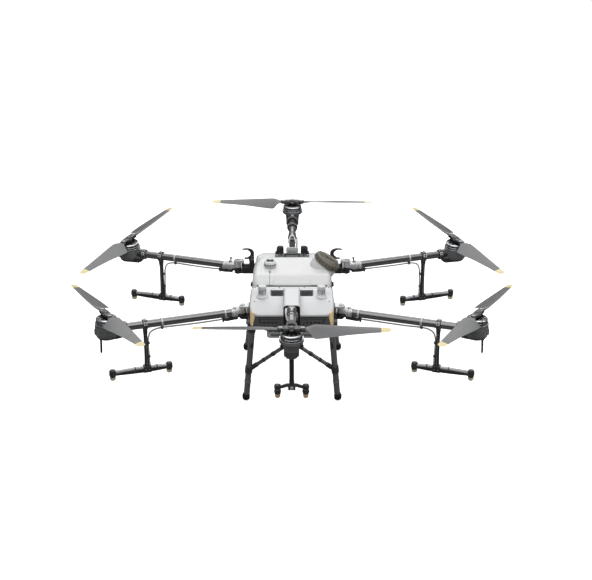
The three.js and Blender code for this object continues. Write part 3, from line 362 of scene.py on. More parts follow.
class B:
    def __init__(self, M=None):
        self.v, self.f, self.mi, self.uv, self.M = [], [], [], [], M or Matrix.Identity(4)

    def add(self, vs, fs, mat, M=None, uvs=None):
        k = len(self.v)
        W = self.M @ M if M is not None else self.M
        self.v += [W @ Vector(p) for p in vs]
        many = isinstance(mat, (list, tuple))
        for i, f in enumerate(fs):
            self.f.append([k + j for j in f])
            self.mi.append(MI[mat[i] if many else mat])
            self.uv.append(uvs[i] if uvs else [(0.0, 0.0)] * len(f))
        return self

    def merge(self, o):
        k = len(self.v)
        self.v += o.v
        self.f += [[k + j for j in f] for f in o.f]
        self.mi += o.mi
        self.uv += o.uv
        return self

    # --- closed forms
    def lathe(self, prof, mat, n=40, M=None, start=0.0):
        """prof: (r, z) or (r, z, material of the band that starts here)."""
        vs, rows = [], []
        for p in prof:
            r, z = p[0], p[1]
            if r < 1e-6:
                rows.append([len(vs)])
                vs.append((0, 0, z))
            else:
                rows.append(list(range(len(vs), len(vs) + n)))
                vs += [(r * cos(start + 2 * math.pi * i / n), r * sin(start + 2 * math.pi * i / n), z) for i in range(n)]
        fs, ms, uv, run = [], [], [], 0.0
        cur = mat
        for k in range(len(prof) - 1):
            if len(prof[k]) > 2:
                cur = prof[k][2]
            a, b = rows[k], rows[k + 1]
            step = math.hypot(prof[k + 1][0] - prof[k][0], prof[k + 1][1] - prof[k][1])
            rr = max(prof[k][0], prof[k + 1][0])
            for i in range(n):
                j = (i + 1) % n
                u0, u1 = 2 * math.pi * rr * i / n, 2 * math.pi * rr * (i + 1) / n
                if len(a) == 1 and len(b) == 1:
                    continue
                if len(a) == 1:
                    fs.append([a[0], b[j], b[i]])
                    uv.append([(u0, run), (u1, run + step), (u0, run + step)])
                elif len(b) == 1:
                    fs.append([a[i], a[j], b[0]])
                    uv.append([(u0, run), (u1, run), (u0, run + step)])
                else:
                    fs.append([a[i], a[j], b[j], b[i]])
                    uv.append([(u0, run), (u1, run), (u1, run + step), (u0, run + step)])
                ms.append(cur)
            run += step
        return self.add(vs, fs, ms, M, uv)

    def rod(self, a, b, r, mat, n=32, r2=None, c=1.0, M=None):
        W, L = along(a, b)
        r2 = r if r2 is None else r2
        c = min(c, r * 0.45, L * 0.3)
        prof = [(0, 0), (r - c, 0), (r - c * 0.3, c * 0.3), (r, c), (r2, L - c), (r2 - c * 0.3, L - c * 0.3), (r2 - c, L), (0, L)]
        return self.lathe(prof, mat, n, (M @ W) if M is not None else W)

    def ring(self, a, b, r_out, r_in, mat, n=40, c=0.8, M=None):
        """Open sleeve from a to b."""
        W, L = along(a, b)
        prof = [(r_in, c), (r_in + c, 0), (r_out - c, 0), (r_out, c), (r_out, L - c), (r_out - c, L), (r_in + c, L), (r_in, L - c), (r_in, c)]
        return self.lathe(prof, mat, n, (M @ W) if M is not None else W)

    def tube(self, pts, r, mat, n=14, per=8, M=None, radii=None, smooth=True):
        c = catmull(pts, per) if smooth else [Vector(p) for p in pts]
        m = len(c)
        rows, vs, up = [], [], Vector((0.13, 0.21, 0.97)).normalized()
        side = None
        lens_ = [0.0]
        for i in range(1, m):
            lens_.append(lens_[-1] + (c[i] - c[i - 1]).length)
        for i in range(m):
            d = (c[min(i + 1, m - 1)] - c[max(i - 1, 0)]).normalized()
            if side is None:
                side = d.cross(up).normalized()
            side = (side - d * side.dot(d)).normalized()
            nrm = side.cross(d)
            rr = r if radii is None else radii[0] + (radii[1] - radii[0]) * i / (m - 1)
            rows.append(list(range(len(vs), len(vs) + n)))
            vs += [tuple(c[i] + side * rr * cos(2 * math.pi * k / n) + nrm * rr * sin(2 * math.pi * k / n)) for k in range(n)]
        fs, uv = [], []
        for i in range(m - 1):
            for k in range(n):
                j = (k + 1) % n
                fs.append([rows[i][k], rows[i][j], rows[i + 1][j], rows[i + 1][k]])
                u0, u1 = 2 * math.pi * r * k / n, 2 * math.pi * r * (k + 1) / n
                uv.append([(u0, lens_[i]), (u1, lens_[i]), (u1, lens_[i + 1]), (u0, lens_[i + 1])])
        fs += [rows[0][::-1], rows[-1]]
        uv += [[(0.0, 0.0)] * n] * 2
        return self.add(vs, fs, mat, M, uv)

    def loft(self, rings, mat, M=None, mats=None, closed=False):
        n, vs = len(rings[0]), [p for r in rings for p in r]
        fs, ms, uv = [], [], []
        ln = [0.0]
        for i in range(1, len(rings)):
            ln.append(ln[-1] + (Vector(rings[i][0]) - Vector(rings[i - 1][0])).length)
        per = [0.0]
        for i in range(n):
            per.append(per[-1] + (Vector(rings[len(rings) // 2][(i + 1) % n]) - Vector(rings[len(rings) // 2][i])).length)
        last = len(rings) - 1
        for k in range(last + (1 if closed else 0)):
            k2 = (k + 1) % len(rings)
            for i in range(n):
                j = (i + 1) % n
                fs.append([k * n + i, k * n + j, k2 * n + j, k2 * n + i])
                ms.append(mats[k] if mats else mat)
                l1 = ln[k2] if k2 else ln[-1] + 10
                uv.append([(ln[k], per[i]), (ln[k], per[i + 1]), (l1, per[i + 1]), (l1, per[i])])
        if not closed:
            fs += [list(range(n))[::-1], [last * n + i for i in range(n)]]
            ms += [mats[0] if mats else mat, mats[-1] if mats else mat]
            uv += [[(0.0, 0.0)] * n] * 2
        return self.add(vs, fs, ms, M, uv)

    def prism(self, pts, depth, mat, M=None, bev=0.0, seg=2):
        n = len(pts)
        vs = [(x, y, 0) for x, y in pts] + [(x, y, depth) for x, y in pts]
        fs = [list(range(n))[::-1], [n + i for i in range(n)]] + [[i, (i + 1) % n, n + (i + 1) % n, n + i] for i in range(n)]
        return self._soft(vs, fs, mat, M, bev, seg)

    def box(self, x0, x1, y0, y1, z0, z1, mat, M=None, bev=1.2, seg=2):
        x0, x1, y0, y1, z0, z1 = min(x0, x1), max(x0, x1), min(y0, y1), max(y0, y1), min(z0, z1), max(z0, z1)
        vs = [(x, y, z) for z in (z0, z1) for y in (y0, y1) for x in (x0, x1)]
        fs = [[0, 2, 3, 1], [4, 5, 7, 6], [0, 1, 5, 4], [2, 6, 7, 3], [0, 4, 6, 2], [1, 3, 7, 5]]
        return self._soft(vs, fs, mat, M, min(bev, (x1 - x0) * 0.4, (y1 - y0) * 0.4, (z1 - z0) * 0.4), seg)

    def _soft(self, vs, fs, mat, M, bev, seg):
        if bev <= 0:
            return self.add(vs, fs, mat, M)
        bm = bmesh.new()
        bv = [bm.verts.new(v) for v in vs]
        for f in fs:
            bm.faces.new([bv[i] for i in f])
        bmesh.ops.recalc_face_normals(bm, faces=bm.faces)
        edges = [e for e in bm.edges if len(e.link_faces) == 2 and e.calc_face_angle(0) > rad(32)]
        bmesh.ops.bevel(bm, geom=edges, offset=bev, segments=seg, profile=0.5, affect="EDGES", clamp_overlap=True)
        bm.verts.index_update()
        out_v = [v.co.copy() for v in bm.verts]
        out_f = [[v.index for v in f.verts] for f in bm.faces]
        bm.free()
        return self.add(out_v, out_f, mat, M)

    def bolt(self, p, d, r=4.0, h=3.0, mat="steel", M=None, n=18):
        """Socket-head screw standing on p along d."""
        W, _ = along(p, Vector(p) + Vector(d))
        s = r * 0.52
        prof = [(0, -0.6), (r, -0.6), (r, h - r * 0.14), (r - r * 0.14, h), (s, h), (s * 0.94, h - 0.3, "screw"), (s * 0.9, h * 0.35, "screw"), (0, h * 0.35, "screw")]
        return self.lathe(prof, mat, n, (M @ W) if M is not None else W)

    # --- cuts
    def mesh(self, name="tmp", shift=Matrix.Identity(4)):
        me = bpy.data.meshes.new(name)
        me.from_pydata([tuple(shift @ v) for v in self.v], [], self.f)
        me.polygons.foreach_set("material_index", self.mi)
        uvl = me.uv_layers.new(name="weave")
        flat = [c for f in self.uv for q in f for c in q]
        uvl.data.foreach_set("uv", flat)
        bm = bmesh.new()
        bm.from_mesh(me)
        bmesh.ops.recalc_face_normals(bm, faces=bm.faces)
        bm.to_mesh(me)
        bm.free()
        return me

    def cut(self, *tools, op="DIFFERENCE"):
        o = bpy.data.objects.new("tmp_a", self.mesh())
        bpy.context.scene.collection.objects.link(o)
        for m in NAMES:
            o.data.materials.append(MAT[m])
        made = []
        for t in tools:
            q = bpy.data.objects.new("tmp_b", t.mesh())
            for m in NAMES:
                q.data.materials.append(MAT[m])
            bpy.context.scene.collection.objects.link(q)
            made.append(q)
            md = o.modifiers.new("cut", "BOOLEAN")
            md.operation, md.solver, md.object = op, "EXACT", q
            md.material_mode = "INDEX"
        dg = bpy.context.evaluated_depsgraph_get()
        me = bpy.data.meshes.new_from_object(o.evaluated_get(dg))
        self.v = [v.co.copy() for v in me.vertices]
        self.f = [list(p.vertices) for p in me.polygons]
        self.mi = [p.material_index for p in me.polygons]
        layer = me.uv_layers.get("weave")
        self.uv = [[tuple(layer.data[i].uv) for i in p.loop_indices] for p in me.polygons] if layer else [[(0, 0)] * len(f) for f in self.f]
        for q in made + [o]:
            bpy.data.objects.remove(q)
        return self


def piece(name, b, body, nodes=(), angle=36.0, weighted=True):
    me = b.mesh(name, Matrix.Identity(4))
    me.transform(Matrix.Diagonal((0.001, 0.001, 0.001, 1.0)))
    used = sorted(set(b.mi))
    for k in used:
        me.materials.append(MAT[NAMES[k]])
    order = {k: i for i, k in enumerate(used)}
    for p in me.polygons:
        p.material_index = order[p.material_index]
        p.use_smooth = True
    me.set_sharp_from_angle(angle=rad(angle))
    o = bpy.data.objects.new(name, me)
    bpy.context.scene.collection.objects.link(o)
    if weighted:
        w = o.modifiers.new("normals", "WEIGHTED_NORMAL")
        w.keep_sharp = True
        w.weight = 60
    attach(o, body)
    if nodes:
        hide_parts(*nodes)
    return o


def flip(b, M=None):
    """The mirror image across the centre plane."""
    o = B()
    o.v = [Vector((-v.x, v.y, v.z)) for v in b.v]
    o.f = [f[::-1] for f in b.f]
    o.mi, o.uv = list(b.mi), [u[::-1] for u in b.uv]
    return o


def flipy(b, about):
    o = B()
    o.v = [Vector((v.x, 2 * about - v.y, v.z)) for v in b.v]
    o.f = [f[::-1] for f in b.f]
    o.mi, o.uv = list(b.mi), [u[::-1] for u in b.uv]
    return o


def stations(table, ys, k=7, grow=0.0):
    """Rounded-box rings along Y from (y, half width, z0, z1, corner) rows, eased between them."""
    cols = list(zip(*table))
    rings = []
    for y in ys:
        hx, z0, z1, r = (pchip(cols[0], cols[i], y) for i in range(1, 5))
        rings.append([(x, y, z) for x, z in rrect(-hx - grow, hx + grow, z0 - grow, z1 + grow, r + grow, k)])
    return rings


def spread(table, step):
    ys = []
    for a, b in zip(table, table[1:]):
        m = max(1, int(round((b[0] - a[0]) / step)))
        ys += [a[0] + (b[0] - a[0]) * i / m for i in range(m)]
    return ys + [table[-1][0]]


# ================================================================ airframe
# ---- tank
TANK = [[-124, 186, 505, 586, 22], [-119, 195, 497, 598, 26], [-110, 205, 484, 607, 30], [-98, 210, 479, 614.5, 32], [-76, 214, 476, 625, 34], [-57, 214, 476, 633.6, 34], [-47, 214, 476, 635, 34], [60, 213, 476, 635, 38], [140, 210, 476, 635, 46],
        [180, 206, 476, 634, 52], [200, 203, 476, 627.5, 54], [225, 198, 478, 613, 54], [238, 193, 482, 603, 50], [249, 185, 492, 590, 44], [254, 176, 500, 580, 36]]
NECK_M = HOME @ T(178, 78, 634) @ R(33, "Y")
b = B(HOME)
b.loft(stations(TANK, spread(TANK, 9), 9), "tank")
b.box(-112, 112, -120, 236, 432, 484, "tank", bev=10, seg=4)
cutter = B(NECK_M).box(-100, 100, -100, 100, 10, 140, "tank", bev=0)
b.cut(cutter)
# raised centre panel of the sloping front
pan = []
for z, y, hx in ((512, -125.5, 112), (556, -128.5, 112), (588, -127, 110), (603, -119.5, 108), (613, -107.5, 106), (624, -85, 100), (632, -67, 94), (636.4, -52, 88)):
    yb = y + 34
    c = 9
    pan.append([(-hx, yb, z), (-hx, y + c + 2, z), (-hx + c * 0.4, y + c * 0.35, z), (-hx + c * 1.5, y, z), (-hx / 2, y - 0.8, z), (0, y - 1.1, z), (hx / 2, y - 0.8, z),
                (hx - c * 1.5, y, z), (hx - c * 0.4, y + c * 0.35, z), (hx, y + c + 2, z), (hx, yb, z)])
b.loft(pan, "tank")
# two broad swages on the top, a seam line under the vent, and the rear drain step
for s in (-1, 1):
    b.box(s * 170, s * 164, -20, 160, 633.0, 636.2, "tank", bev=1.2)
b.box(-148, -145.5, -126, -118, 540, 590, "green", bev=0.4)
b.tube([(-120, 24, 636.0), (-120, -20, 636.0), (-120, -46, 635.8), (-120, -58, 634.0), (-120, -76, 626.0), (-120, -98, 615.4), (-120, -110, 608.0), (-120, -119.6, 598.6), (-120, -124.8, 586), (-120, -125, 560)], 1.1, "green", n=8, per=6)
b.lathe([(0, 0), (5.6, 0), (5.6, 1.8), (4.4, 2.6), (2.4, 2.6), (2.2, 1.2), (0, 1.2)], "screw", 20, T(-120, -24, 635.4))
# dark strip along the tank front behind the shell edge: painted shade for the shadowed gap between shell and tank
b.box(-188, 188, -129.8, -112, 584, 601, "gap_shade", bev=2)
# filler neck
b2 = B(NECK_M)
b2.lathe([(40, -46), (40, 23), (42, 24.2), (50.5, 24.2), (52, 23), (52, 15.5, "neck"), (54.5, 13.8), (64, 10.6), (66.5, 9.2), (68.5, 5, "tank"), (70, -2), (72, -14), (71, -30), (66, -46), (40, -46)], "neck", 64)
for i in range(3):
    b2.lathe([(51.6, 17 + i * 2.2), (53.2, 17.6 + i * 2.2), (53.2, 18.3 + i * 2.2), (51.6, 18.9 + i * 2.2), (51.6, 17 + i * 2.2)], "neck", 56)
b.merge(b2)
# vent stub
b.lathe([(0, 612), (27, 612), (29, 635), (26.5, 637), (26, 638.6), (13, 639), (12, 640), (12, 646.4), (0, 646.6)], "tank", 44, T(-120, 52, 0))
# tank seam band along the side where it drops between the rails
for s in (-1, 1):
    b.tube([(s * 213.6, -60, 545), (s * 213.4, 20, 545), (s * 212.6, 80, 545), (s * 209.6, 140, 545), (s * 204, 196, 545)], 1.6, "tank", n=8, per=4)
piece("tank_shell", b, "root", ("tank",), angle=30)

# ---- filler lid
b = B(NECK_M)
b.lathe([(0, 25.4), (53.2, 25.4), (53.9, 24.6), (53.9, 16), (54.6, 15.3), (59, 14.9), (66.5, 11.7), (71, 12), (72.2, 13.2), (72.2, 20), (71.2, 21), (71.2, 24), (72, 25), (72, 37), (70.6, 41), (66.5, 43.6), (63, 44.4), (60.6, 43),
         (58.6, 42.6), (56, 44.8), (50, 47.2), (40, 48.6), (0, 49.4)], "lid", 72)
for i in range(24):
    b.box(66.5, 75.6, -3.3, 3.3, 14.5, 37.5, "lid", M=R(i * 15, "Z"), bev=1.4)
b.box(-55, 55, -13, 13, 42, 59, "grip", bev=3.4, seg=4)
for i in range(-4, 5):
    b.box(i * 10.5 - 1.6, i * 10.5 + 1.6, -12, 12, 57, 60.6, "grip", bev=1.1)
for s in (-1, 1):
    b.box(s * 24, s * 52, -20, 20, 42.0, 52.6, "grip", bev=2.4, seg=3)
b.lathe([(53.4, 12.2), (66, 9.8), (67.4, 11), (54.4, 14), (53.4, 12.2)], "green", 56)
piece("filler_lid", b, "lid", ("tank_lid",))

# ---- vent cap
b = B(HOME @ T(-120, 52, 635))
b.lathe([(0, 13.4), (12.2, 13.4), (12.6, 12.8), (12.6, 5.6), (13.2, 5.1), (31, 5.1), (32.6, 6.4), (32.6, 12, "grey"), (31.6, 12.6, "grey"), (31.6, 15, "grey"), (32.6, 15.8), (32.6, 22, "cap"), (30, 28.4, "cap"), (26.5, 31.2), (20.5, 33.8), (0, 34.2)], "cap", 56)
for i in range(20):
    b.box(30.6, 34.4, -2.0, 2.0, 6.4, 22.5, "steel", M=R(i * 18, "Z"), bev=0.8)
for s in (-1, 1):
    b.lathe([(0, 32.4), (9.6, 32.4), (10, 33.4), (10, 39.6), (8.6, 41.4), (0, 41.8)], "black", 28, T(s * 10.6, 0, 0))
b.box(-19, 19, -5, 5, 33, 37.4, "black", bev=1.2)
piece("vent_cap_top", b, "vent", ("vent_cap",))

# ---- centre frame: carbon side rails, carbon plates and black frame blocks
b = B(HOME)
for s in (-1, 1):
    b.rod((s * 150, -330, 455), (s * 150, 318, 455), 15, "carbon", 36, c=1.5)
    for y in (-318, -262, -100, 60, 215, 300):
        b.ring((s * 150, y - 9, 455), (s * 150, y + 9, 455), 17.2, 14.8, "anod", 32, 0.6)
b.box(-211, 211, -325, -300, 468, 560, "plate", bev=2)
b.box(-211, -150, -302, -265, 468, 560, "frame", bev=2)
b.box(150, 211, -302, -265, 468, 560, "frame", bev=2)
b.box(-150, 150, -302, -265, 545, 560, "frame", bev=2)
b.box(-150, 150, -302, -265, 468, 485, "frame", bev=2)
b.box(-150, 150, -319, -301, 446, 470, "plate", bev=1.5)
b.box(-30, 30, -402, -320, 520, 560, "frame", bev=2.5)
for s in (-1, 1):
    b.box(s * 197, s * 92, 262, 318, 468, 560, "frame", bev=2)
    b.box(s * 112, s * 92, 300, 362, 450, 560, "frame", bev=2)
b.box(-150, 150, 296, 315, 446, 466, "plate", bev=1.5)
b.box(-112, 112, 349, 362, 450, 560, "plate", bev=1.5)
b.box(-30, 30, 355, 401.6, 521, 553, "frame", bev=2.5)
for s in (-1, 1):
    for x in (90, 176):
        b.bolt((s * x, -325, 535), (0, -1, 0), 4.4, 3)
        b.bolt((s * x, -325, 492), (0, -1, 0), 4.4, 3)
    for x in (40, 84):
        b.bolt((s * x, 362, 540), (0, 1, 0), 4.2, 3)
        b.bolt((s * x, 362, 470), (0, 1, 0), 4.2, 3)
piece("airframe", b, "root", ("centre_frame",))


# ---- side hinge brackets
def direction(az, el):
    return Vector((cos(rad(az)) * cos(rad(el)), sin(rad(az)) * cos(rad(el)), sin(rad(el))))


def fold_axis(d0, d1):
    u = (d1 - d0).normalized()
    return (Vector((0, 0, 1)) - u * u.z).normalized()


AXIS = {"f": fold_axis(direction(-SWEEP, 0), direction(90, RISE)), "r": fold_axis(direction(SWEEP, 0), direction(-88, RISE))}


def side_bracket(hx, hy, inner, k, front):
    y = k.cross(Vector((1, 0, 0))).normalized()
    x = y.cross(k).normalized()
    m = basis(x, y, k, (hx, hy, ARM_Z))
    b = B(HOME)
    main = "collar" if front else "hook"
    if front:
        b.box(inner + 0.5, hx - 31, hy - 26.5, hy + 26.5, ARM_Z - 41.5, ARM_Z + 41.5, "hook", bev=3, seg=3)
        b.box(inner + 3, hx - 28, hy - 20, hy + 20, ARM_Z - 2, ARM_Z + 30, main, bev=3, seg=3)
        b.box(inner + 3, hx - 28, hy - 20, hy + 20, ARM_Z - 30, ARM_Z - 1, "hook", bev=3, seg=3)
    else:
        b.box(inner + 0.5, inner + 14, hy - 26.5, hy + 26.5, ARM_Z - 41.5, ARM_Z + 16, "hook", bev=3, seg=3)
        b.box(inner + 8, hx - 28, hy - 20, hy + 20, ARM_Z - 39, ARM_Z + 4, main, bev=5, seg=3)
        b.box(inner + 8, hx - 30, hy - 11, hy + 11, ARM_Z, ARM_Z + 14, main, bev=4, seg=3)
        b.box(hx - 36, hx - 21.8, hy - 12, hy + 12, ARM_Z + 10, ARM_Z + KN_H + 10, "hook", bev=3, seg=3)
    b.box(hx - 36, hx - 21.8, hy - 15, hy + 15, ARM_Z - KN_H + 2, ARM_Z + KN_H - 2, "hook", bev=2.5, seg=3)
    for z0, z1 in ((KN_H + 1.5, KN_H + 14), (-KN_H - 14, -KN_H - 1.5)):
        tongue = [(-35, -20.5), (0, -20.8)] + [(20.8 * cos(rad(a)), 20.8 * sin(rad(a))) for a in range(-80, 81, 10)] + [(0, 20.8), (-35, 20.5)]
        b.prism(tongue, z1 - z0, "collar" if z0 > 0 else "hook", m @ T(0, 0, z0), bev=1.6, seg=3)
    b.rod((0, 0, -KN_H - 18.6), (0, 0, KN_H + 16), 7, "steel", 28, M=m)
    b.lathe([(0, KN_H + 13.6), (12.5, KN_H + 13.6), (12.5, KN_H + 17), (11, KN_H + 18.8), (5, KN_H + 18.8), (4.6, KN_H + 16.5, "screw"), (0, KN_H + 16.5, "screw")], "steel", 6 * 6, m)
    b.lathe([(0, -KN_H - 18.8), (11, -KN_H - 18.8), (12.5, -KN_H - 17), (12.5, -KN_H - 13.6), (0, -KN_H - 13.6)], "steel", 36, m)
    for dy in (-14, 14):
        for z in (-31, 31):
            if front:
                b.bolt((hx - 28.4, hy + dy, ARM_Z + z * 0.7), (1, 0, 0), 3.6, 2.2)
    for z in (-34.5, 34.5):
        for dy in (-19, 19):
            b.bolt((hx - 31.4 if front else inner + 13.6, hy + dy, ARM_Z + (z if front or z < 0 else 8)), (1, 0, 0), 3.4, 2.4)
    return b


fr = side_bracket(FRONT_HX, -FRONT_HY, 211.4, AXIS["f"], True)
rr = side_bracket(REAR_HX, REAR_HY, 197.4, AXIS["r"], False)
piece("hinge_front_right", fr, "root", ("hinge_bracket_front_right",))
piece("hinge_front_left", flip(fr), "root", ("hinge_bracket_front_left",))
piece("hinge_rear_right", rr, "root", ("hinge_bracket_rear_right",))
piece("hinge_rear_left", flip(rr), "root", ("hinge_bracket_rear_left",))


def end_bracket():
    b = B(HOME)
    b.box(-33, 33, -413.4, -402.4, 522, 600, "collar", bev=2.4, seg=3)
    for s in (-1, 1):
        ear = [(-444, 560), (-436, 553), (-410, 553), (-410, 596), (-430, 596), (-444, 586)]
        m = basis((0, 1, 0), (0, 0, 1), (1, 0, 0), (20.6 if s > 0 else -32.9, 0, 0))
        b.prism(ear, 12.3, "cast", m, bev=2, seg=3)
        b.lathe([(0, 0), (10, 0), (10, 1.6), (8.6, 2.4), (4, 2.4), (3.6, 1, "screw"), (0, 1, "screw")], "steel", 30, T(s * 32.6, -430, 573) @ R(s * 90, "Y"))
        for z in (530, 545):
            b.bolt((s * 24, -413.4, z), (0, -1, 0), 3.8, 2.6)
    b.rod((-32, -430, 573), (32, -430, 573), 6, "steel", 24)
    return b


eb = end_bracket()
piece("hinge_front_end", eb, "root", ("hinge_bracket_front",))
piece("hinge_back_end", flipy(eb, SY), "root", ("hinge_bracket_back",))

# ---- spine cover with its gasketed mouth
SPINE = [[-444, 42, 517, 632, 12], [-440, 43, 517, 634.4, 14], [-430, 43, 517, 635, 14], [-346, 43, 517, 635, 14], [-344, 43, 596, 635, 14], [-236, 43, 597, 635, 14], [-215, 41, 598, 631.5, 14], [-206, 38, 599, 628, 14], [-194, 30, 600, 618, 9]]
b = B(HOME)
b.loft(stations([[-444, 41.4, 518, 631.6, 14], [-441, 42.7, 517.2, 633.8, 15], [-436, 43, 517, 635, 15], [-345, 43, 517, 635, 15]], [-444, -442.6, -441, -438.5, -436, -420, -400, -380, -360, -345.2], 8), "shell")
mouth = B(HOME).loft(stations([[-470, 35.5, 500, 625, 12], [-345, 36, 500, 625, 12]], [-470, -400, -340], 8), "black")
b.cut(mouth)
cap = [[-346, 43, 597.5, 635, 14], [-236, 43, 597.5, 635, 14], [-218, 41.6, 597.5, 632, 14], [-206, 38, 598, 628, 13], [-198, 33.5, 598.5, 622, 11], [-194, 30, 599, 618, 9]]
b.loft(stations(cap, [-345.4, -320, -290, -260, -236, -227, -218, -212, -206, -202, -198, -194], 8), "shell")
rim = []
for x, z in rrect(-38.6, 38.6, 520.5, 628.6, 13, 7):
    rim.append((x, -442.6, z))
b.tube(rim + rim[:1], 4.9, "rubber", n=12, smooth=False)
b.box(-35, 35, -362, -352, 523, 622, "black", bev=1)
b.box(-38, 38, -442, -350, 517.6, 522, "black", bev=1)
for s in (-1, 1):
    b.tube([(s * 43.1, -436, 612), (s * 43.3, -390, 612), (s * 43.3, -350, 612), (s * 43.1, -240, 613)], 0.9, "dark", n=8, per=3)
piece("spine_hood", b, "root", ("nose_spine_cover",))

# ---- accent lamps
def line(tab, y):
    for (y0, v0), (y1, v1) in zip(tab, tab[1:]):
        if y <= y1:
            return v0 + (v1 - v0) * (y - y0) / (y1 - y0)
    return tab[-1][1]


LAMP_OUT = ((-400, 186), (-388, 203), (-380, 209), (-352, 219.5), (-300, 224))
LAMP_IN = ((-400, 176), (-388, 192), (-380, 200.8), (-352, 212.8), (-326, 214.8))
LAMP_LOW = ((-387, 540), (-381, 508), (-374, 482), (-366, 478.6), (-348, 478.6), (-344, 524), (-328, 569))
LAMP_TOP = ((-387, 563), (-328, 569.6))


def lamp():
    b = B(HOME)
    rings = []
    for y in (-387.4, -384, -381, -380, -375, -370, -368, -366, -362, -357, -352, -348, -346, -344, -340, -334, -328.6):
        x1, x0, z0, z1 = (line(t, y) for t in (LAMP_OUT, LAMP_IN, LAMP_LOW, LAMP_TOP))
        r = []
        for i in range(11):
            r.append((x1 - 0.3 - 1.5 * abs(2 * i / 10 - 1) ** 3, y, z0 + (z1 - z0) * i / 10))
        r += [(x0 + 0.3, y, z1), (x0 + 0.3, y, z0)]
        rings.append(r)
    b.loft(rings, "amber")
    return b


def lamp_well(s):
    b = B(HOME)
    rings = []
    for y in (-388, -380, -370.6, -366.6, -357, -347.4, -343.4, -335, -327.4):
        x0, z0, z1 = line(LAMP_IN, y) - 0.5, line(LAMP_LOW, max(-387, min(-328, y))) - 0.8, line(LAMP_TOP, max(-387, min(-328, y))) + 0.6
        rings.append([(s * x0, y, z0), (s * 262, y, z0), (s * 262, y, z1), (s * x0, y, z1)])
    return b.loft(rings, "shell")


lp = lamp()
piece("corner_lamp_right", lp, "root", ("accent_lamp_right",), weighted=False)
piece("corner_lamp_left", flip(lp), "root", ("accent_lamp_left",), weighted=False)

# ---- front shell
OUT = [[-396, 182, 520, 556, 4], [-392, 191, 520, 559, 6], [-388, 200, 520, 562, 7], [-368, 213, 520, 569, 9], [-330, 221, 520, 581, 14], [-322, 221.3, 520, 583.5, 15], [-300, 221.6, 520, 589, 17], [-250, 222, 520, 599, 20], [-190, 220, 520, 611.5, 20],
       [-160, 218, 526, 609, 20], [-148, 216, 536, 605, 20], [-138, 208, 550, 596, 18]]
INN = [[-391, 176, 480, 552, 4], [-383, 195, 480, 557, 6], [-364, 208, 480, 564, 8], [-330, 216.5, 480, 576, 12], [-250, 217.5, 480, 594, 18], [-190, 215.5, 480, 606.5, 18], [-160, 213.5, 480, 603.5, 18], [-100, 209, 480, 589, 18]]
b = B(HOME)
b.loft(stations(OUT, spread(OUT, 8), 8), "shell")
cuts = [B(HOME).loft(stations(INN, spread(INN, 12), 6), "black"), B(HOME).box(-43.6, 43.6, -460, -185, 480, 660, "shell", bev=0),
        B(HOME).box(-260, 260, -460, -320, 470, 548, "shell", bev=0), B(HOME).box(-261, 261, -320.5, -90, 471, 536, "shell", bev=0)]
for s in (-1, 1):
    cuts.append(B(HOME).box(s * 180, s * 260, -FRONT_HY - 30, -FRONT_HY + 30, 470, ARM_Z + 43, "shell", bev=5, seg=3))
    cuts.append(B(HOME).loft([[(x, y, z) for x, y in rrect(min(s * 43, s * 113), max(s * 43, s * 113), -253, -187, 9, 5)] for z in (570, 640)], "shell"))
    cuts.append(lamp_well(s))
b.cut(*cuts)
for s in (-1, 1):
    a = T(s * 156, -250, 602)
    b.lathe([(0, -9), (33.4, -9), (34, -4.6), (33.4, -2.8), (31, -1.4), (24, 3.2), (22, 6.4), (21.6, 8.6), (20.6, 9), (20.6, 11, "alu"), (21.4, 11.6, "alu"), (21.4, 36, "alu"), (20.6, 36.6, "grey"), (20.6, 38, "cap"),
             (21.8, 38.6), (21.8, 52.4), (20.2, 55), (16, 56), (0, 56.4)], "shell", 56, a)
    # air duct lips beside the antennas and a parting line over the shoulder
    b.box(s * 190, s * 208, -226, -219, 594, 605.6, "shell", bev=1.4)
    b.box(s * 188, s * 206, -208, -201, 598, 609.4, "shell", bev=1.4)
    b.tube([(s * 217.6, -160, 590), (s * 219.4, -190, 588), (s * 221.4, -250, 578), (s * 220.6, -322, 566)], 1.1, "grey", n=8, per=5)
    b.bolt((s * 196, -172, 609.8), (0, 0, 1), 3.8, 1.6, "screw")
    b.bolt((s * 66, -172, 610.2), (0, 0, 1), 3.8, 1.6, "screw")
    b.bolt((s * 196, -300, 588.6), (0.25, -0.2, 1), 3.6, 1.4, "screw")
    b.lathe([(0, 0), (11.5, 0), (12.6, 1.4), (12.6, 15), (14.6, 16.4), (14.6, 22), (13, 23.6), (6, 24), (5.4, 21, "black"), (0, 21, "black")], "grey", 36, T(s * 217.2, -334, 488) @ R(s * 90, "Y"))
piece("front_cowl", b, "root", ("front_shell",), angle=32)

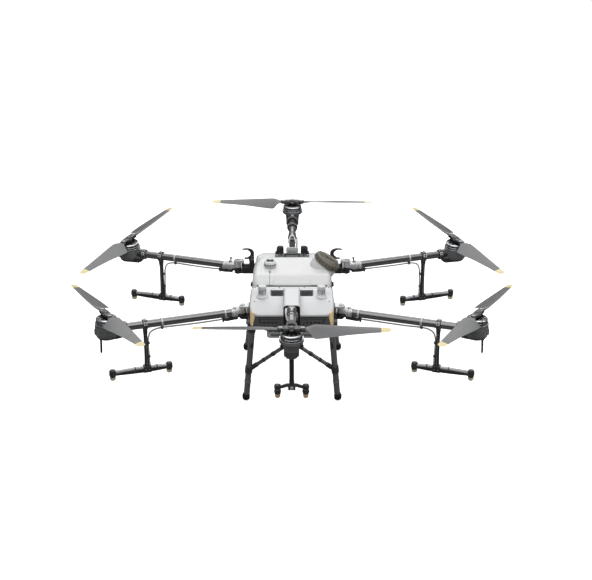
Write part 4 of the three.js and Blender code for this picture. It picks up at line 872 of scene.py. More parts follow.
# ---- lower front cover
LOW = [[-388, 184, 488, 570, 12], [-386, 189, 486, 570, 13], [-380, 200, 480, 570, 14], [-366, 207, 476.5, 570, 16], [-352, 212, 474, 570, 16], [-326, 214, 472, 570, 16]]
LIN = [[-383, 178, 494, 590, 10], [-376, 194, 486, 590, 12], [-352, 206, 480, 590, 14], [-300, 208, 478, 590, 14]]
b = B(HOME)
b.loft(stations(LOW, spread(LOW, 4), 8), "dark")
cuts = [B(HOME).loft(stations(LIN, spread(LIN, 8), 6), "black"), B(HOME).box(-43.6, 43.6, -460, -340, 470, 620, "dark", bev=0), B(HOME).box(-260, 260, -461, -300, 547.2, 640, "dark", bev=0)]
for i in range(5):
    for s in (-1, 1):
        cuts.append(B(HOME).box(s * (74 + i * 21), s * (86 + i * 21), -392, -380, 504, 511, "black", bev=2))
b.cut(*cuts)
for s in (-1, 1):
    b.box(s * 45, s * 182, -389.4, -387.4, 541.4, 546.8, "black", bev=0.7)
    b.box(s * 58, s * 176, -389.4, -387.6, 527.0, 528.8, "black", bev=0.4)
    b.bolt((s * 60, -388, 498), (0, -1, 0), 3.6, 2, "screw")
    b.bolt((s * 168, -388, 523), (0, -1, 0), 3.6, 2, "screw")
piece("lower_cowl", b, "root", ("front_lower_cover",), angle=32)

# ---- rear cover
REAR = [[262, 205, 470, 590, 20], [330, 205, 470, 588, 24], [356, 194, 474, 585, 24], [372, 178, 480, 580, 24], [388, 148, 488, 573, 22], [398, 120, 495, 566, 20]]
RIN = [[240, 199, 440, 584, 18], [330, 199, 440, 582, 22], [368, 172, 440, 574, 22], [392, 112, 440, 560, 18]]
b = B(HOME)
b.loft(stations(REAR, spread(REAR, 7), 8), "shell")
cuts = [B(HOME).loft(stations(RIN, spread(RIN, 12), 6), "black"), B(HOME).box(-97, 97, 250, 348, 500, 640, "shell", bev=0),
        B(HOME).loft([[(x, y, z) for x, y in rrect(-97, 97, 300, 378, 8, 4)] for z in (500, 640)], "shell"), B(HOME).box(-36, 36, 340, 460, 512, 600, "shell", bev=0)]
for s in (-1, 1):
    cuts.append(B(HOME).box(s * 180, s * 260, REAR_HY - 30, REAR_HY + 30, 470, ARM_Z + 43, "shell", bev=5, seg=3))
    for i in range(5):
        cuts.append(B(HOME).box(s * 140, s * 176, 340, 420, 503 + i * 11, 508 + i * 11, "black", M=T(0, 0, 0), bev=1.5))
b.cut(*cuts)
for s in (-1, 1):
    # black latch blocks either side of the back hinge
    b.box(s * 48, s * 90, 356, 384, 566, 616, "black", bev=6, seg=4)
    b.box(s * 50, s * 84, 350.6, 374, 606, 628, "black", bev=6, seg=4)
    b.box(s * 84, s * 97, 360, 380, 566, 592, "black", bev=4, seg=3)
    b.lathe([(0, 0), (12, 0), (13, 1.2), (13, 7), (11.6, 8.4), (0, 8.8)], "black", 32, T(s * 68, 384, 584) @ R(-90, "X"))
    b.bolt((s * 67, 362, 628), (0, 0, 1), 5, 2.4, "steel")
    b.bolt((s * 186, 276, 588), (0, 0, 1), 3.8, 2, "screw")
    b.bolt((s * 120, 276, 590), (0, 0, 1), 3.8, 2, "screw")
    b.tube([(s * 200, 336, 570), (s * 180, 366, 566), (s * 140, 391, 560)], 1.0, "grey", n=8, per=6)
b.box(-97.5, 97.5, 350, 379, 556, 577.6, "shell", bev=3, seg=3)
b.box(-44, 44, 347.4, 353, 552, 580, "black", bev=1.5)
piece("rear_cowl", b, "root", ("rear_cover",), angle=32)

# ---- cooling grilles
b = B(HOME)
b.box(-59, 59, -239, -201, 575.5, 588.5, "frame", bev=1.5)
for s in (-1, 1):
    lo_, hi_ = min(s * 44.4, s * 112), max(s * 44.4, s * 112)
    rings = []
    for y, z in ((-252, 592.4), (-187.9, 610)):
        rings.append((y, z))
    def slab(x0, x1, y0, y1, up, thick, mat, bev=1.0, M=None):
        def zz(y):
            return 592.4 + (y + 252) * (610 - 592.4) / 64.1
        vs = [(x, y, zz(y) + up - (0 if k else thick)) for k in (0, 1) for y in (y0, y1) for x in (x0, x1)]
        fs = [[0, 2, 3, 1], [4, 5, 7, 6], [0, 1, 5, 4], [2, 6, 7, 3], [0, 4, 6, 2], [1, 3, 7, 5]]
        b._soft(vs, fs, mat, M, bev, 2)
    slab(lo_, hi_, -252, -187.9, -6, 12, "mesh", 0.5)
    slab(lo_, hi_, -252, -246.5, 0.6, 12, "black", 1.4)
    slab(lo_, hi_, -198, -187.9, 1.2, 12, "cast", 1.8)
    slab(lo_, lo_ + 5.5, -250, -190, 0.4, 12, "black", 1.2)
    slab(hi_ - 5.5, hi_, -250, -190, 0.4, 12, "black", 1.2)
    for i in range(5):
        y = -242 + i * 8.6
        slab(lo_ + 4, hi_ - 4, y, y + 2.6, -1.2, 7, "black", 0.8)
    for i in range(7):
        x = lo_ + 9.5 + i * 8.1
        slab(x, x + 1.4, -248, -197, -2.2, 5, "black", 0.4)
piece("air_grilles", b, "root", ("cooling_grille",))

# ---- battery
b = B(HOME)
BAT = [[259.6, 78, 468, 584, 8], [261.5, 82, 467.4, 587, 9], [264, 84, 467, 588, 10], [340, 84, 467, 588, 10], [343, 81.6, 467.4, 586.6, 9], [345, 78, 468, 584, 8]]
b.loft(stations(BAT, [259.6, 260.6, 261.5, 264, 280, 300, 320, 340, 341.5, 343, 345], 6), "bat")
for s in (-1, 1):
    b.box(s * 35.4, s * 44.6, 292.5, 311.5, 586, 603, "black", bev=2.5, seg=3)
    b.box(s * 54, s * 76, 270, 334, 586.4, 590.6, "black", bev=1.6)
    for i in range(4):
        b.bolt((s * 72, 268 + i * 22, 590.2), (0, 0, 1), 2.8, 1.4, "steel")
    b.box(s * 83.4, s * 85.2, 276, 328, 480, 572, "black", bev=0.8)
b.rod((-44.6, 302, 603), (44.6, 302, 603), 5.0, "black", 24, c=2)
b.box(-44.4, 44.4, 294, 310, 598.6, 607.6, "black", bev=3.5, seg=4)
for i in range(9):
    b.box(-34 + i * 8, -30.5 + i * 8, 293.2, 310.8, 600, 608, "rubber", bev=0.8)
b.box(-26, 26, 264, 284, 586.6, 589.8, "dark", bev=1.2)
for i in range(4):
    b.lathe([(0, 0), (2.6, 0), (2.6, 0.8), (2, 1.2), (0, 1.3)], "cap", 16, T(-15 + i * 10, 274, 589.6))
piece("battery_pack", b, "battery", ("battery",))

# ---- pump unit
PUMP = [[-366, 112, 412, 438, 10], [-360, 124, 405, 439.2, 13], [-352, 132, 402, 439.5, 14], [-205, 134, 402, 439.5, 14], [-196, 130, 405, 438.4, 13], [-188, 120, 410, 436, 12]]
b = B(HOME)
b.loft(stations(PUMP, spread(PUMP, 6), 7), "shell")
for s in (-1, 1):
    b.lathe([(0, 397.2), (31, 397.2), (34, 398.6), (34, 405), (0, 405)], "grey", 48, T(s * 70, -262, 0))
    for i in range(6):
        b.bolt((s * 70 + 26 * cos(rad(i * 60 + 15)), -262 + 26 * sin(rad(i * 60 + 15)), 398.8), (0, 0, -1), 2.8, 1.2)
    b.box(s * 24, s * 112, -367.4, -360, 417, 433, "grey", bev=2)
    b.tube([(s * 128, -300, 424), (s * 139, -306, 428), (s * 146, -318, 442), (s * 150, -322, 458)], 6, "hose", n=16, per=6)
    b.bolt((s * 118, -352, 439), (0, 0, 1), 3.6, 1.4, "screw")
    b.box(s * 60, s * 84, -300, -225, 438, 447, "frame", bev=2)
b.tube([(-112, -190, 424), (-112, -170, 426), (-96, -140, 436), (-80, -120, 448)], 7.5, "hose", n=16, per=6)
piece("pump_housing", b, "root", ("pump_unit",))


# ---- landing gear
def gear():
    b = B(HOME)
    b.rod((206, -290, 453), (206, 292, 453), 10, "carbon", 32, c=2)
    for x0, y0, x1, y1 in ((207, -286, 249, -300), (205, 288, 265, 291)):
        f = 1 if y0 > 0 else -1
        foot, top = Vector((x1, y1, 0)), Vector((x0, y0, 466))

        def on(z):
            return foot + (top - foot) * (z / 466)

        m, L = along(foot, top)
        # leg and strut in the lightened carbon (painted highlight)
        b.rod(on(465), on(14), 16.5, "leg", 44, c=1)
        # top clamp block
        b.box(x0 - 19.5, min(x0 + 19.5, 229.6), y0 - 19.5, y0 + 19.5, 440.5, 467, "anod", bev=3, seg=3)
        b.ring(on(440), on(404), 19.6, 16.2, "black", 40, 1.4)
        b.box(-4, 4, 16, 27, 408, 436, "black", M=m, bev=2)
        for z in (414, 430):
            b.bolt((4, 22, z), (1, 0, 0), 3.2, 2, M=m)
        # strut clamp
        b.ring(on(206), on(164), 20.4, 16.2, "black", 40, 1.8)
        b.ring(on(118), on(106), 18.2, 16.2, "grey", 36, 0.8)
        s0, s1 = Vector((on(185).x, on(185).y, 182)), Vector((47, f * 305, 322))
        u = (s1 - s0).normalized()
        b.rod(s0 + u * 22, s1, 10.5, "leg", 32, c=1)
        b.rod(s0 + u * 10, s0 + u * 58, 13.2, "black", 32, c=1.6)
        b.ring(s0 + u * 96, s0 + u * 108, 12.2, 10.3, "black", 28, 0.8)
        b.ring(s0 + u * 158, s0 + u * 176, 12.4, 10.3, "black", 28, 0.8)
        top_z = 444 if f > 0 else 396
        b.box(36.5, 59.5, (291.5 if f > 0 else -318.5), (318.5 if f > 0 else -291.5), 317, top_z, "black", bev=3, seg=3)
        b.rod((34.6, f * 305, 329), (61.4, f * 305, 329), 9.0, "black", 28, c=1.5)
        b.bolt((61, f * 305, 329), (1, 0, 0), 4.4, 2.4)
        # outer cable clip
        e = on(330)
        b.box(15.4, 24.4, -9, 9, 318, 346, "black", M=m, bev=2.5, seg=3)
        # rubber foot
        b.lathe([(0, 0.0), (6, 0.3), (12.5, 2.2), (17.5, 6.4), (20.2, 12), (20.5, 18), (20.2, 26), (19, 33), (18.2, 36.5), (17.2, 39.4), (16.5, 40), (0, 40)], "rubber", 48, T(x1, y1, 0))
        for z in (24, 29):
            b.ring((x1, y1, z), (x1, y1, z + 1.6), 20.9, 19, "rubber", 40, 0.4)
    return b


g = gear()
piece("undercarriage_right", g, "root", ("landing_gear_right",))
piece("undercarriage_left", flip(g), "root", ("landing_gear_left",))

# ---- catch hooks
HOOK_Y = 281.0
HOOK_Z = ARM_Z + (HOOK_Y + FRONT_HY) * math.tan(rad(RISE))


def hook():
    r = TUBE_R + 4
    out = [((r + 7.5 + 12 * sin(rad(min(180, i * 9))) ** 2) * cos(rad(90 + 9 * i)), (r + 7.5 + 12 * sin(rad(min(180, i * 9))) ** 2) * sin(rad(90 + 9 * i))) for i in range(21)]
    inn = [(r * cos(rad(90 + 9 * i)), r * sin(rad(90 + 9 * i))) for i in range(21)]
    c = [(18, r + 6)] + out + [(12, -r - 7.5), (12, -r)] + inn[::-1] + [(16, r), (20, r - 3), (24, r + 1)]
    m = basis((1, 0, 0), (0, 0, 1), (0, -1, 0), (FRONT_HX, HOOK_Y + 7, HOOK_Z))
    b = B(HOME)
    b.prism(c, 14, "hook", m, bev=1.6, seg=2)
    a = [(-r - 17, 6), (-r + 2, -18), (-12, -r - 5), (-14, -42), (-14, -44.2), (-42, -44.2), (-44.4, -26)]
    b.prism(a, 12, "hook", m @ T(0, 0, 1), bev=1.4, seg=2)
    # upright that carries the catch on the hinge block
    b.box(214, 243, REAR_HY - 26, REAR_HY - 14, ARM_Z - 30, ARM_Z + 46, "hook", bev=2.5, seg=3)
    pad = [((r - 0.1) * cos(rad(110 + 8 * i)), (r - 0.1) * sin(rad(110 + 8 * i))) for i in range(18)]
    pin = [((r - 1.6) * cos(rad(110 + 8 * i)), (r - 1.6) * sin(rad(110 + 8 * i))) for i in range(18)]
    b.prism(pad + pin[::-1], 12, "rubber", m @ T(0, 0, 1))
    b.bolt(m @ Vector((-30, -34, 13)), m.to_3x3() @ Vector((0, 0, 1)), 4.4, 2.4)
    b.bolt(m @ Vector((-31.5, -18, 13)), m.to_3x3() @ Vector((0, 0, 1)), 3.6, 2.2)
    return b


hk = hook()
piece("fold_catch_right", hk, "root", ("catch_hook_right",))
piece("fold_catch_left", flip(hk), "root", ("catch_hook_left",))

# ================================================================ arms
ARMS = [("front_left", "fl", -FRONT_HX, -FRONT_HY, 180 + SWEEP), ("front_right", "fr", FRONT_HX, -FRONT_HY, -SWEEP),
        ("rear_left", "rl", -REAR_HX, REAR_HY, 180 - SWEEP), ("rear_right", "rr", REAR_HX, REAR_HY, SWEEP),
        ("front", "f", 0, -END_HY, -90), ("back", "b", 0, END_HY, 90)]


def clamp(b, x, half, r_out=27.0, side=1, pale="collar"):
    """Split tube clamp: two shells, a pale saddle on top with dark screws, bolt flanges underneath."""
    b.ring((x - half, 0, 0), (x + half, 0, 0), r_out, TUBE_R + 0.3, "black", 48, 1.8)
    for e in (-1, 1):
        b.ring((x + e * (half - 3.2) - 1.6, 0, 0), (x + e * (half - 3.2) + 1.6, 0, 0), r_out + 1.5, r_out - 1, "grey", 48, 0.7)
    # saddle
    for a in (90, 28, 152):
        m = T(x, 0, 0) @ R(a - 90, "X")
        b.box(-half * 0.8, half * 0.8, -8.6, 8.6, r_out - 4, r_out + 3.6, pale, M=m, bev=2.4, seg=3)
        b.bolt((0, 0, r_out + 3.4), (0, 0, 1), 4.6, 1.4, "screw", M=m)
    for s in (-1, 1):
        b.box(x - half * 0.8, x + half * 0.8, s * 18, s * 31, -4.5, 4.5, "black", bev=2)
        b.bolt((x - half * 0.42, s * 26, 4.4), (0, 0, 1), 3.4, 2.6)
        b.bolt((x + half * 0.42, s * 26, 4.4), (0, 0, 1), 3.4, 2.6)


def hose_ring(b, x, pale="collar"):
    b.ring((x - 4.5, 0, 0), (x + 4.5, 0, 0), 23, TUBE_R + 0.1, pale, 48, 1.0)
    b.ring((x - 5.6, 0, 0), (x - 4.3, 0, 0), 22.2, TUBE_R, "grey", 40, 0.3)
    b.ring((x + 4.3, 0, 0), (x + 5.6, 0, 0), 22.2, TUBE_R, "grey", 40, 0.3)
    b.box(x - 6, x + 6, -8, 8, -38, -20.4, "black", bev=2.6, seg=3)
    b.bolt((x, -8, -27), (0, -1, 0), 2.8, 1.6, "steel")
    b.bolt((x, 8, -27), (0, 1, 0), 2.8, 1.6, "steel")


def arm_tube(M, L, k, rings, lx, end, front, side):
    b = B(M)
    if not end:
        kk = k
        top, bot = kk * KN_H, kk * -KN_H
        zq = kk.to_track_quat("Z", "Y").to_matrix().to_4x4()
        b.lathe([(8.6, -KN_H + 0.2), (18.6, -KN_H + 0.2), (20, -KN_H + 1.6), (20, -3, "cast" if front else "collar"), (20, KN_H - 1.6), (18.6, KN_H - 0.2), (8.6, KN_H - 0.2), (8.6, -KN_H + 0.2)], "hook", 48, zq)
        if front:
            # silver clamp block: faceted top that narrows to the round collar
            for s0, s1, w0, h0, w1, h1, mt in ((2, 36, 14, 15, 22, 22, "collar"),):
                rings_ = []
                for t in (0.0, 0.25, 0.55, 0.8, 1.0):
                    w, h = w0 + (w1 - w0) * t, h0 + (h1 - h0) * t
                    rings_.append([(s0 + (s1 - s0) * t, y, z) for y, z in rrect(-w, w, -h, h, 5 + 5 * t, 4)])
                b.loft(rings_, mt)
            b.box(10, 34, -16, 16, 14, 23, "collar", bev=3, seg=3)
            b.box(4, 35, -23, 23, -23.4, -1, "black", bev=4, seg=3)
        else:
            rings_ = []
            for t in (0.0, 0.3, 0.6, 1.0):
                w, h = 14 + 7 * t, 15 + 6 * t
                rings_.append([(2 + 34 * t, y, z) for y, z in rrect(-w, w, -h, h, 5 + 4 * t, 4)])
            b.loft(rings_, "collar")
            b.box(4, 35, -20, 20, -22, -8, "hook", bev=4, seg=3)
        b.lathe([(0, 0), (23, 0), (25.6, 1.6), (25.8, 3), (25.8, 9, "grey"), (24.8, 9.8, "grey"), (24.8, 11, "collar"), (25.8, 11.8, "collar"), (25.8, 22), (24.6, 24), (21, 24.4), (0, 24.4)], "collar", 56, T(34, 0, 0) @ R(90, "Y"))
        b.ring((58, 0, 0), (66, 0, 0), 23.6, TUBE_R, "cast", 48, 1.2)
        b.box(38, 54, -6.5, 6.5, 25, 31.5, "collar", bev=2, seg=3)
        b.bolt((46, 6.4, 28.4), (0, 1, 0), 3.2, 2)
        b.bolt((46, -6.4, 28.4), (0, -1, 0), 3.2, 2)
        # over-centre lever under the root
        b.box(30, 58, -13, 13, -38.4, -20, "black", bev=3, seg=3)
        lev = [(38, 2), (46, -9), (60, -12), (92, -13), (112, -7), (117, 1), (111, 6), (88, 5), (60, 7)]
        mv = basis((1, 0, 0), (0, 0, 1), (0, -1, 0), (0, 8, -30))
        b.prism(lev, 16, "black", mv, bev=2.2, seg=2)
        b.rod((108, 0, -32), (108, 0, -47), 5.4, "black", 20, c=1.5)
        b.box(60, 96, -5.8, 5.8, -27.4, -24.8, "cast", bev=1)
        if not front:
            # locking pin that stands on the collar
            b.rod((40, 0, 24), (40, 0, 44), 3.8, "black", 20)
            b.lathe([(0, 0), (6.2, 0), (6.8, 1.4), (6.8, 7), (5.6, 8.4), (0, 8.6)], "black", 24, T(40, 0, 42))
            # pale grip sleeve over the root collar
            b.ring((66, 0, 0), (84, 0, 0), 24.2, TUBE_R, "collar", 48, 1.6)
    else:
        web = [(-13, -52), (-8, -57), (0, -60), (8, -58.5), (14, -55), (58, -20), (58, 12), (30, 12), (6, -14), (-12, -42)]
        mw = basis((1, 0, 0), (0, 0, 1), (0, -1, 0), (0, 17.6, 0))
        b.prism(web, 35.2, "hook", mw, bev=2.2, seg=3)
        b.lathe([(7.4, 0.6), (12.6, 0.6), (13.8, 1.8), (13.8, 33.8), (12.6, 35), (7.4, 35), (7.4, 0.6)], "cast", 40, T(0, 17.8, -PIN_DROP) @ R(90, "X"))
        b.lathe([(0, 0), (21.6, 0), (23, 2), (23, 26), (21.6, 28), (0, 28)], "black", 56, T(34, 0, 0) @ R(90, "Y"))
        # forked top strap over the socket
        for s in (-1, 1):
            b.tube([(14, s * 20.5, -8), (24, s * 18.5, 3), (38, s * 12, 15), (52, s * 5, 20.5), (66, s * 2, 20.5)], 5.6, "collar", n=14, per=5)
        b.tube([(62, 0, 20.5), (78, 0, 20.2), (90, 0, 19)], 6.0, "collar", n=14, per=4)
        b.lathe([(0, 0), (9, 0), (10, 1), (10, 5.4), (8.8, 6.4), (3.6, 6.6), (3.2, 5, "screw"), (0, 5, "screw")], "grey", 30, T(24, 0, 10))
        b.box(66, 92, -25.6, 25.6, -6, 6, "black", bev=3, seg=3)
        b.ring((66, 0, 0), (92, 0, 0), 23.4, TUBE_R, "black", 48, 1.4)
        # curved feed hose beside the root
        b.tube([(34, -side * 25.5, -40), (20, -side * 26.4, -26), (22, -side * 28, -2), (44, -side * 29.5, 6), (78, -side * 28.5, -4), (108, -side * 22, -20), (140, -side * 9, -30), (168, 0, -31)], 5.0, "hose", n=18, per=8)
    b.rod((54, 0, 0), (L - 62, 0, 0), TUBE_R, "carbon", 64, c=0.6)
    for X in rings:
        hose_ring(b, X, "grey" if end else "collar")
    # hose along the underside, sagging between its clips
    h0 = 120.0 if not end else 168.0
    pts = [(h0, 0, -29), (max(h0 + 8, rings[0] + 12) if not end else h0 + 8, 0, -30.5)]
    if end:
        pts = [(160, 0, -31), (rings[1], 0, -31), (lx - 24, 0, -35), (lx - 17, 8 * side, -60)]
        b.tube(pts, 4.6, "hose", n=16, per=10)
    else:
        a, c_ = rings[0], rings[1]
        n_ = 5
        pts = [(max(a - 4, 84), 0, -30.5)]
        for i in range(1, n_):
            t = i / n_
            pts.append((a + (c_ - a) * t, 1.5 * sin(5 * t), -30.5 - 2.2 * sin(math.pi * t)))
        pts += [(c_, 0, -30.5), (c_ + (lx - c_) * 0.45, 3 * side, -38), (lx - 26, 10 * side, -58), (lx - 15.5, 12 * side, -92)]
        b.tube(pts, 4.6, "hose", n=16, per=8)
    return b


def motor_mount(M, L, cant, end, side):
    b = B(M)
    c = T(L, 0, 0) @ R(-cant, "X")
    # stator housing under the bell, in the rotor's lean
    b.lathe([(0, 22), (57, 22), (60.4, 23.4), (60.8, 26), (60.8, 30, "bell"), (59.6, 31, "anod"), (59.6, 34, "anod"), (60.8, 35, "alu"), (60.8, 39.6, "alu"), (59.6, 41.4, "alu"), (54, 42, "anod"), (51, 40.6, "anod"), (0, 40.6)], "grey", 72, c)
    for i in range(12):
        b.box(55, 60.2, -4.2, 4.2, 23.8, 29.4, "anod", M=c @ R(i * 30 + 15, "Z"), bev=1)
    if end:
        b.lathe([(0, -65.6), (24, -65.6), (27.4, -64.6), (28.6, -62), (31, -58), (32.4, -50), (34.4, -38, "dark"), (36.2, -28, "dark"), (37.4, -26.6, "grey"), (39.6, -12), (41, 4), (44.4, 10), (49.6, 15), (55.6, 18.6), (58.2, 21), (58.2, 24), (0, 24)], "dark", 64, T(L, 0, 0))
        for i in range(16):
            b.box(31.2, 37.4, -1.5, 1.5, -58, -30, "dark", M=T(L, 0, 0) @ R(i * 22.5, "Z"), bev=0.9)
        b.ring((L, 0, -29), (L, 0, -26), 38.2, 30, "black", 56, 0.6)
    else:
        # cup that flares round the outer side, dark pod below
        b.lathe([(0, -27), (55.5, -27), (58.6, -25.6), (61.4, -21), (63.6, -14), (64.2, -6), (63.2, 4), (61.6, 14), (60.6, 20), (59.6, 23.8), (0, 24)], "grey", 72, T(L, 0, 0))
        b.lathe([(0, -40), (46, -40), (52.5, -38), (56.4, -33), (58, -26), (0, -26)], "black", 64, T(L, 0, 0))
        rings = []
        for x, w, z0, z1 in ((-84, 28, -36, -12), (-80, 33, -40, -9), (-70, 39, -43, -6), (-40, 43, -45, -4), (-8, 43.6, -45.6, -4), (12, 43, -45.8, -5), (28, 37, -45.4, -6), (37, 31, -43, -8)):
            rings.append([(L + x, y, z) for y, z in rrect(-w, w, z0, z1, 12, 5)])
        b.loft(rings, "black")
        for i in range(7):
            b.box(L - 66 + i * 11, L - 61 + i * 11, -30, 30, -47.2, -44, "dark", bev=0.9)
        # raised ribs and cable channel on the outer wall
        for a in (-38, 0, 38):
            b.box(60.6, 66.0, -5, 5, -21, 12, "grey", M=T(L, 0, 0) @ R(a, "Z"), bev=2)
        b.tube([(L + 63.9 * cos(rad(t)), 63.9 * sin(rad(t)), -10) for t in range(-110, 111, 10)], 1.1, "dark", n=8, per=2)
        b.tube([(L + 61.8 * cos(rad(t)), 61.8 * sin(rad(t)), 14) for t in range(0, 361, 12)], 0.9, "dark", n=8, per=2)
    # tube socket
    s0 = L - 104
    prof = [(TUBE_R + 0.3, 0.8), (TUBE_R + 1.2, 0), (25.4, 0), (26.5, 1.2), (26.5, 36), (28, 40), (30, 46), (30, 60), (0, 60), (0, 41), (TUBE_R + 0.3, 41), (TUBE_R + 0.3, 0.8)]
    b.lathe(prof, "black", 56, T(s0, 0, 0) @ R(90, "Y"))
    clamp(b, s0 + 12, 12, 27.6, side, "grey" if end else "collar")
    for s in (-1, 1):
        for i in range(3):
            b.box(s0 + 32 + i * 11, s0 + 36 + i * 11, s * 22, s * 31, -13, 13, "black", bev=1.6)
    b.box(s0 + 28, s0 + 58, -9, 9, 22, 30, "cast", bev=3, seg=3)
    b.bolt((s0 + 36, 0, 29.8), (0, 0, 1), 4, 2)
    b.bolt((s0 + 50, 0, 29.8), (0, 0, 1), 4, 2)
    # phase leads into the socket
    for j, y in enumerate((-9, 0, 9)):
        b.tube([(L - 70, y, 20), (L - 58, y, 25.4), (L - 44, y * 1.3, 25)], 3.2, "rubber", n=12, per=4)
    return b


def rotor_hub(M):
    b = B(M)
    # bell
    b.lathe([(0, 43.8), (50, 43.8), (53.4, 44.2), (54.5, 45.4), (54.5, 48.4, "alu"), (53.6, 49.2, "bell"), (53.6, 60, "bell"), (54.5, 60.8, "alu"), (54.3, 63, "alu"), (52.4, 65.6, "alu"), (49, 68.6, "bell"), (44, 69.8, "anod"), (24, 71, "anod"), (22, 72), (21.4, 79), (0, 79)], "bell", 80)
    for i in range(14):
        b.box(52.6, 54.4, -2.2, 2.2, 50, 59.4, "anod", M=R(i * 360 / 14, "Z"), bev=0.6)
    for i in range(10):
        m = R(i * 36 + 18, "Z")
        b.box(28, 46, -3.4, 3.4, 69.4, 71.6, "anod", M=m, bev=1.0)
        b.lathe([(0, 69), (4.6, 69), (4.6, 70.8), (0, 71)], "alu", 18, R(i * 36, "Z") @ T(38, 0, 0.4))
    # clamping plates: lower and upper, waisted
    def waist(r):
        pts = []
        for e in (1, -1):
            for i in range(13):
                a = rad(-90 + 15 * i) if e > 0 else rad(90 + 15 * i)
                pts.append((e * PIN_R + r * cos(a), r * sin(a)))
            pts.append((e * 20, e * (r + 2.5)))
            pts.append((-e * 20, e * (r + 2.5)))
        return pts
    b.prism(waist(15.6), 3.8, "anod", T(0, 0, 79.1), bev=1.0)
    b.prism(waist(15.6), 3.8, "black", T(0, 0, 93.1), bev=1.2)
    b.rod((0, 0, 82), (0, 0, 94), 17, "alu", 44, c=0.6)
    b.lathe([(0, 96), (15, 96), (16.4, 97), (16.4, 98.4), (13, 100.4), (8.4, 101), (0, 101.2)], "black", 40)
    b.bolt((0, 0, 101), (0, 0, 1), 4.0, 1.2, "steel")
    for e in (1, -1):
        b.rod((e * PIN_R, 0, 80), (e * PIN_R, 0, 96), 5, "steel", 24, c=0.5)
        b.lathe([(0, 96.4), (9.4, 96.4), (9.4, 97.6), (8.2, 98.2), (7.2, 98.2), (7.2, 99.4), (5, 100), (3.2, 100), (3, 98.4, "screw"), (0, 98.4, "screw")], "steel", 36, T(e * PIN_R, 0, 0))
        for s in (-1, 1):
            b.bolt((e * 26, s * 11, 96.7), (0, 0, 1), 3.4, 2.0)
            b.rod((e * 26, s * 11, 82.6), (e * 26, s * 11, 93.4), 3.4, "steel", 16, c=0.3)
    return b


ST = [[14, 30, 0, 9.2, 0.5], [26, 40, 8, 9, 0.46], [62, CHORD, 19, 8, 0.32], [120, 91, 17, 7, 0.33], [220, 70, 13, 5.4, 0.36], [340, 48, 10, 4, 0.39], [418, 34, 8, 3, 0.42], [TIP_R - PIN_R, 18, 8, 2, 0.45]]


def blade(M, spin):
    b = B(M)
    xs = [14, 18, 22, 26, 31, 36, 41, 46, 52, 58, 64, 72, 82, 94, 108, 124, 142, 162, 186, 212, 240, 270, 300, 330, 356, 376, 378.6, 392, 404, 412, 418, 422, 425, 427, TIP_R - PIN_R]
    cols = list(zip(*ST))
    up = [(1.0, 0.0), (0.985, 0.22), (0.95, 0.36), (0.88, 0.47), (0.78, 0.53), (0.65, 0.54), (0.5, 0.49), (0.35, 0.40), (0.2, 0.27), (0.08, 0.12), (0.0, 0.04)]
    dn = [(0.0, -0.04), (0.08, -0.03), (0.2, -0.05), (0.35, -0.12), (0.5, -0.20), (0.65, -0.27), (0.78, -0.31), (0.88, -0.31), (0.95, -0.25), (0.985, -0.15)]
    sect = up + dn
    rings, mats = [], []
    for x in xs:
        c, p, t, lead = (pchip(cols[0], cols[i], x) for i in (1, 2, 3, 4))
        blunt = max(0.0, 1.0 - (x - 14) / 26.0)
        if x > 418:
            c *= max(0.28, 1 - ((x - 418) / (TIP_R - PIN_R - 418)) ** 2 * 0.62)
        p = rad(p)
        ring = []
        for u, w in sect:
            ang = math.atan2(w, u - 0.5)
            if blunt > 0:
                ww = 0.46 * math.copysign(min(1.0, abs(sin(ang)) ** 0.5 + 0.1), w) if abs(w) > 0.03 else 0.0
                w = w * (1 - blunt) + ww * blunt
            yy, zz = (u - 1 + lead) * c, w * t
            ring.append((x, spin * (yy * cos(p) - zz * sin(p)), yy * sin(p) + zz * cos(p)))
        rings.append(ring)
        mats.append("tip" if x >= 378.5 else "blade")
    b.loft(rings, "blade", mats=mats)
    b.lathe([(6.2, -4.2), (13.6, -4.2), (15, -3), (15, 3), (13.6, 4.2), (6.2, 4.2), (6.2, -4.2)], "blade", 48)
    b.lathe([(6.1, -4.5), (9.4, -4.5), (9.4, 4.5), (6.1, 4.5), (6.1, -4.5)], "steel", 32)
    b.box(8, 22, -11.5, 11.5, -4, 4, "blade", bev=2.4, seg=3)
    return b


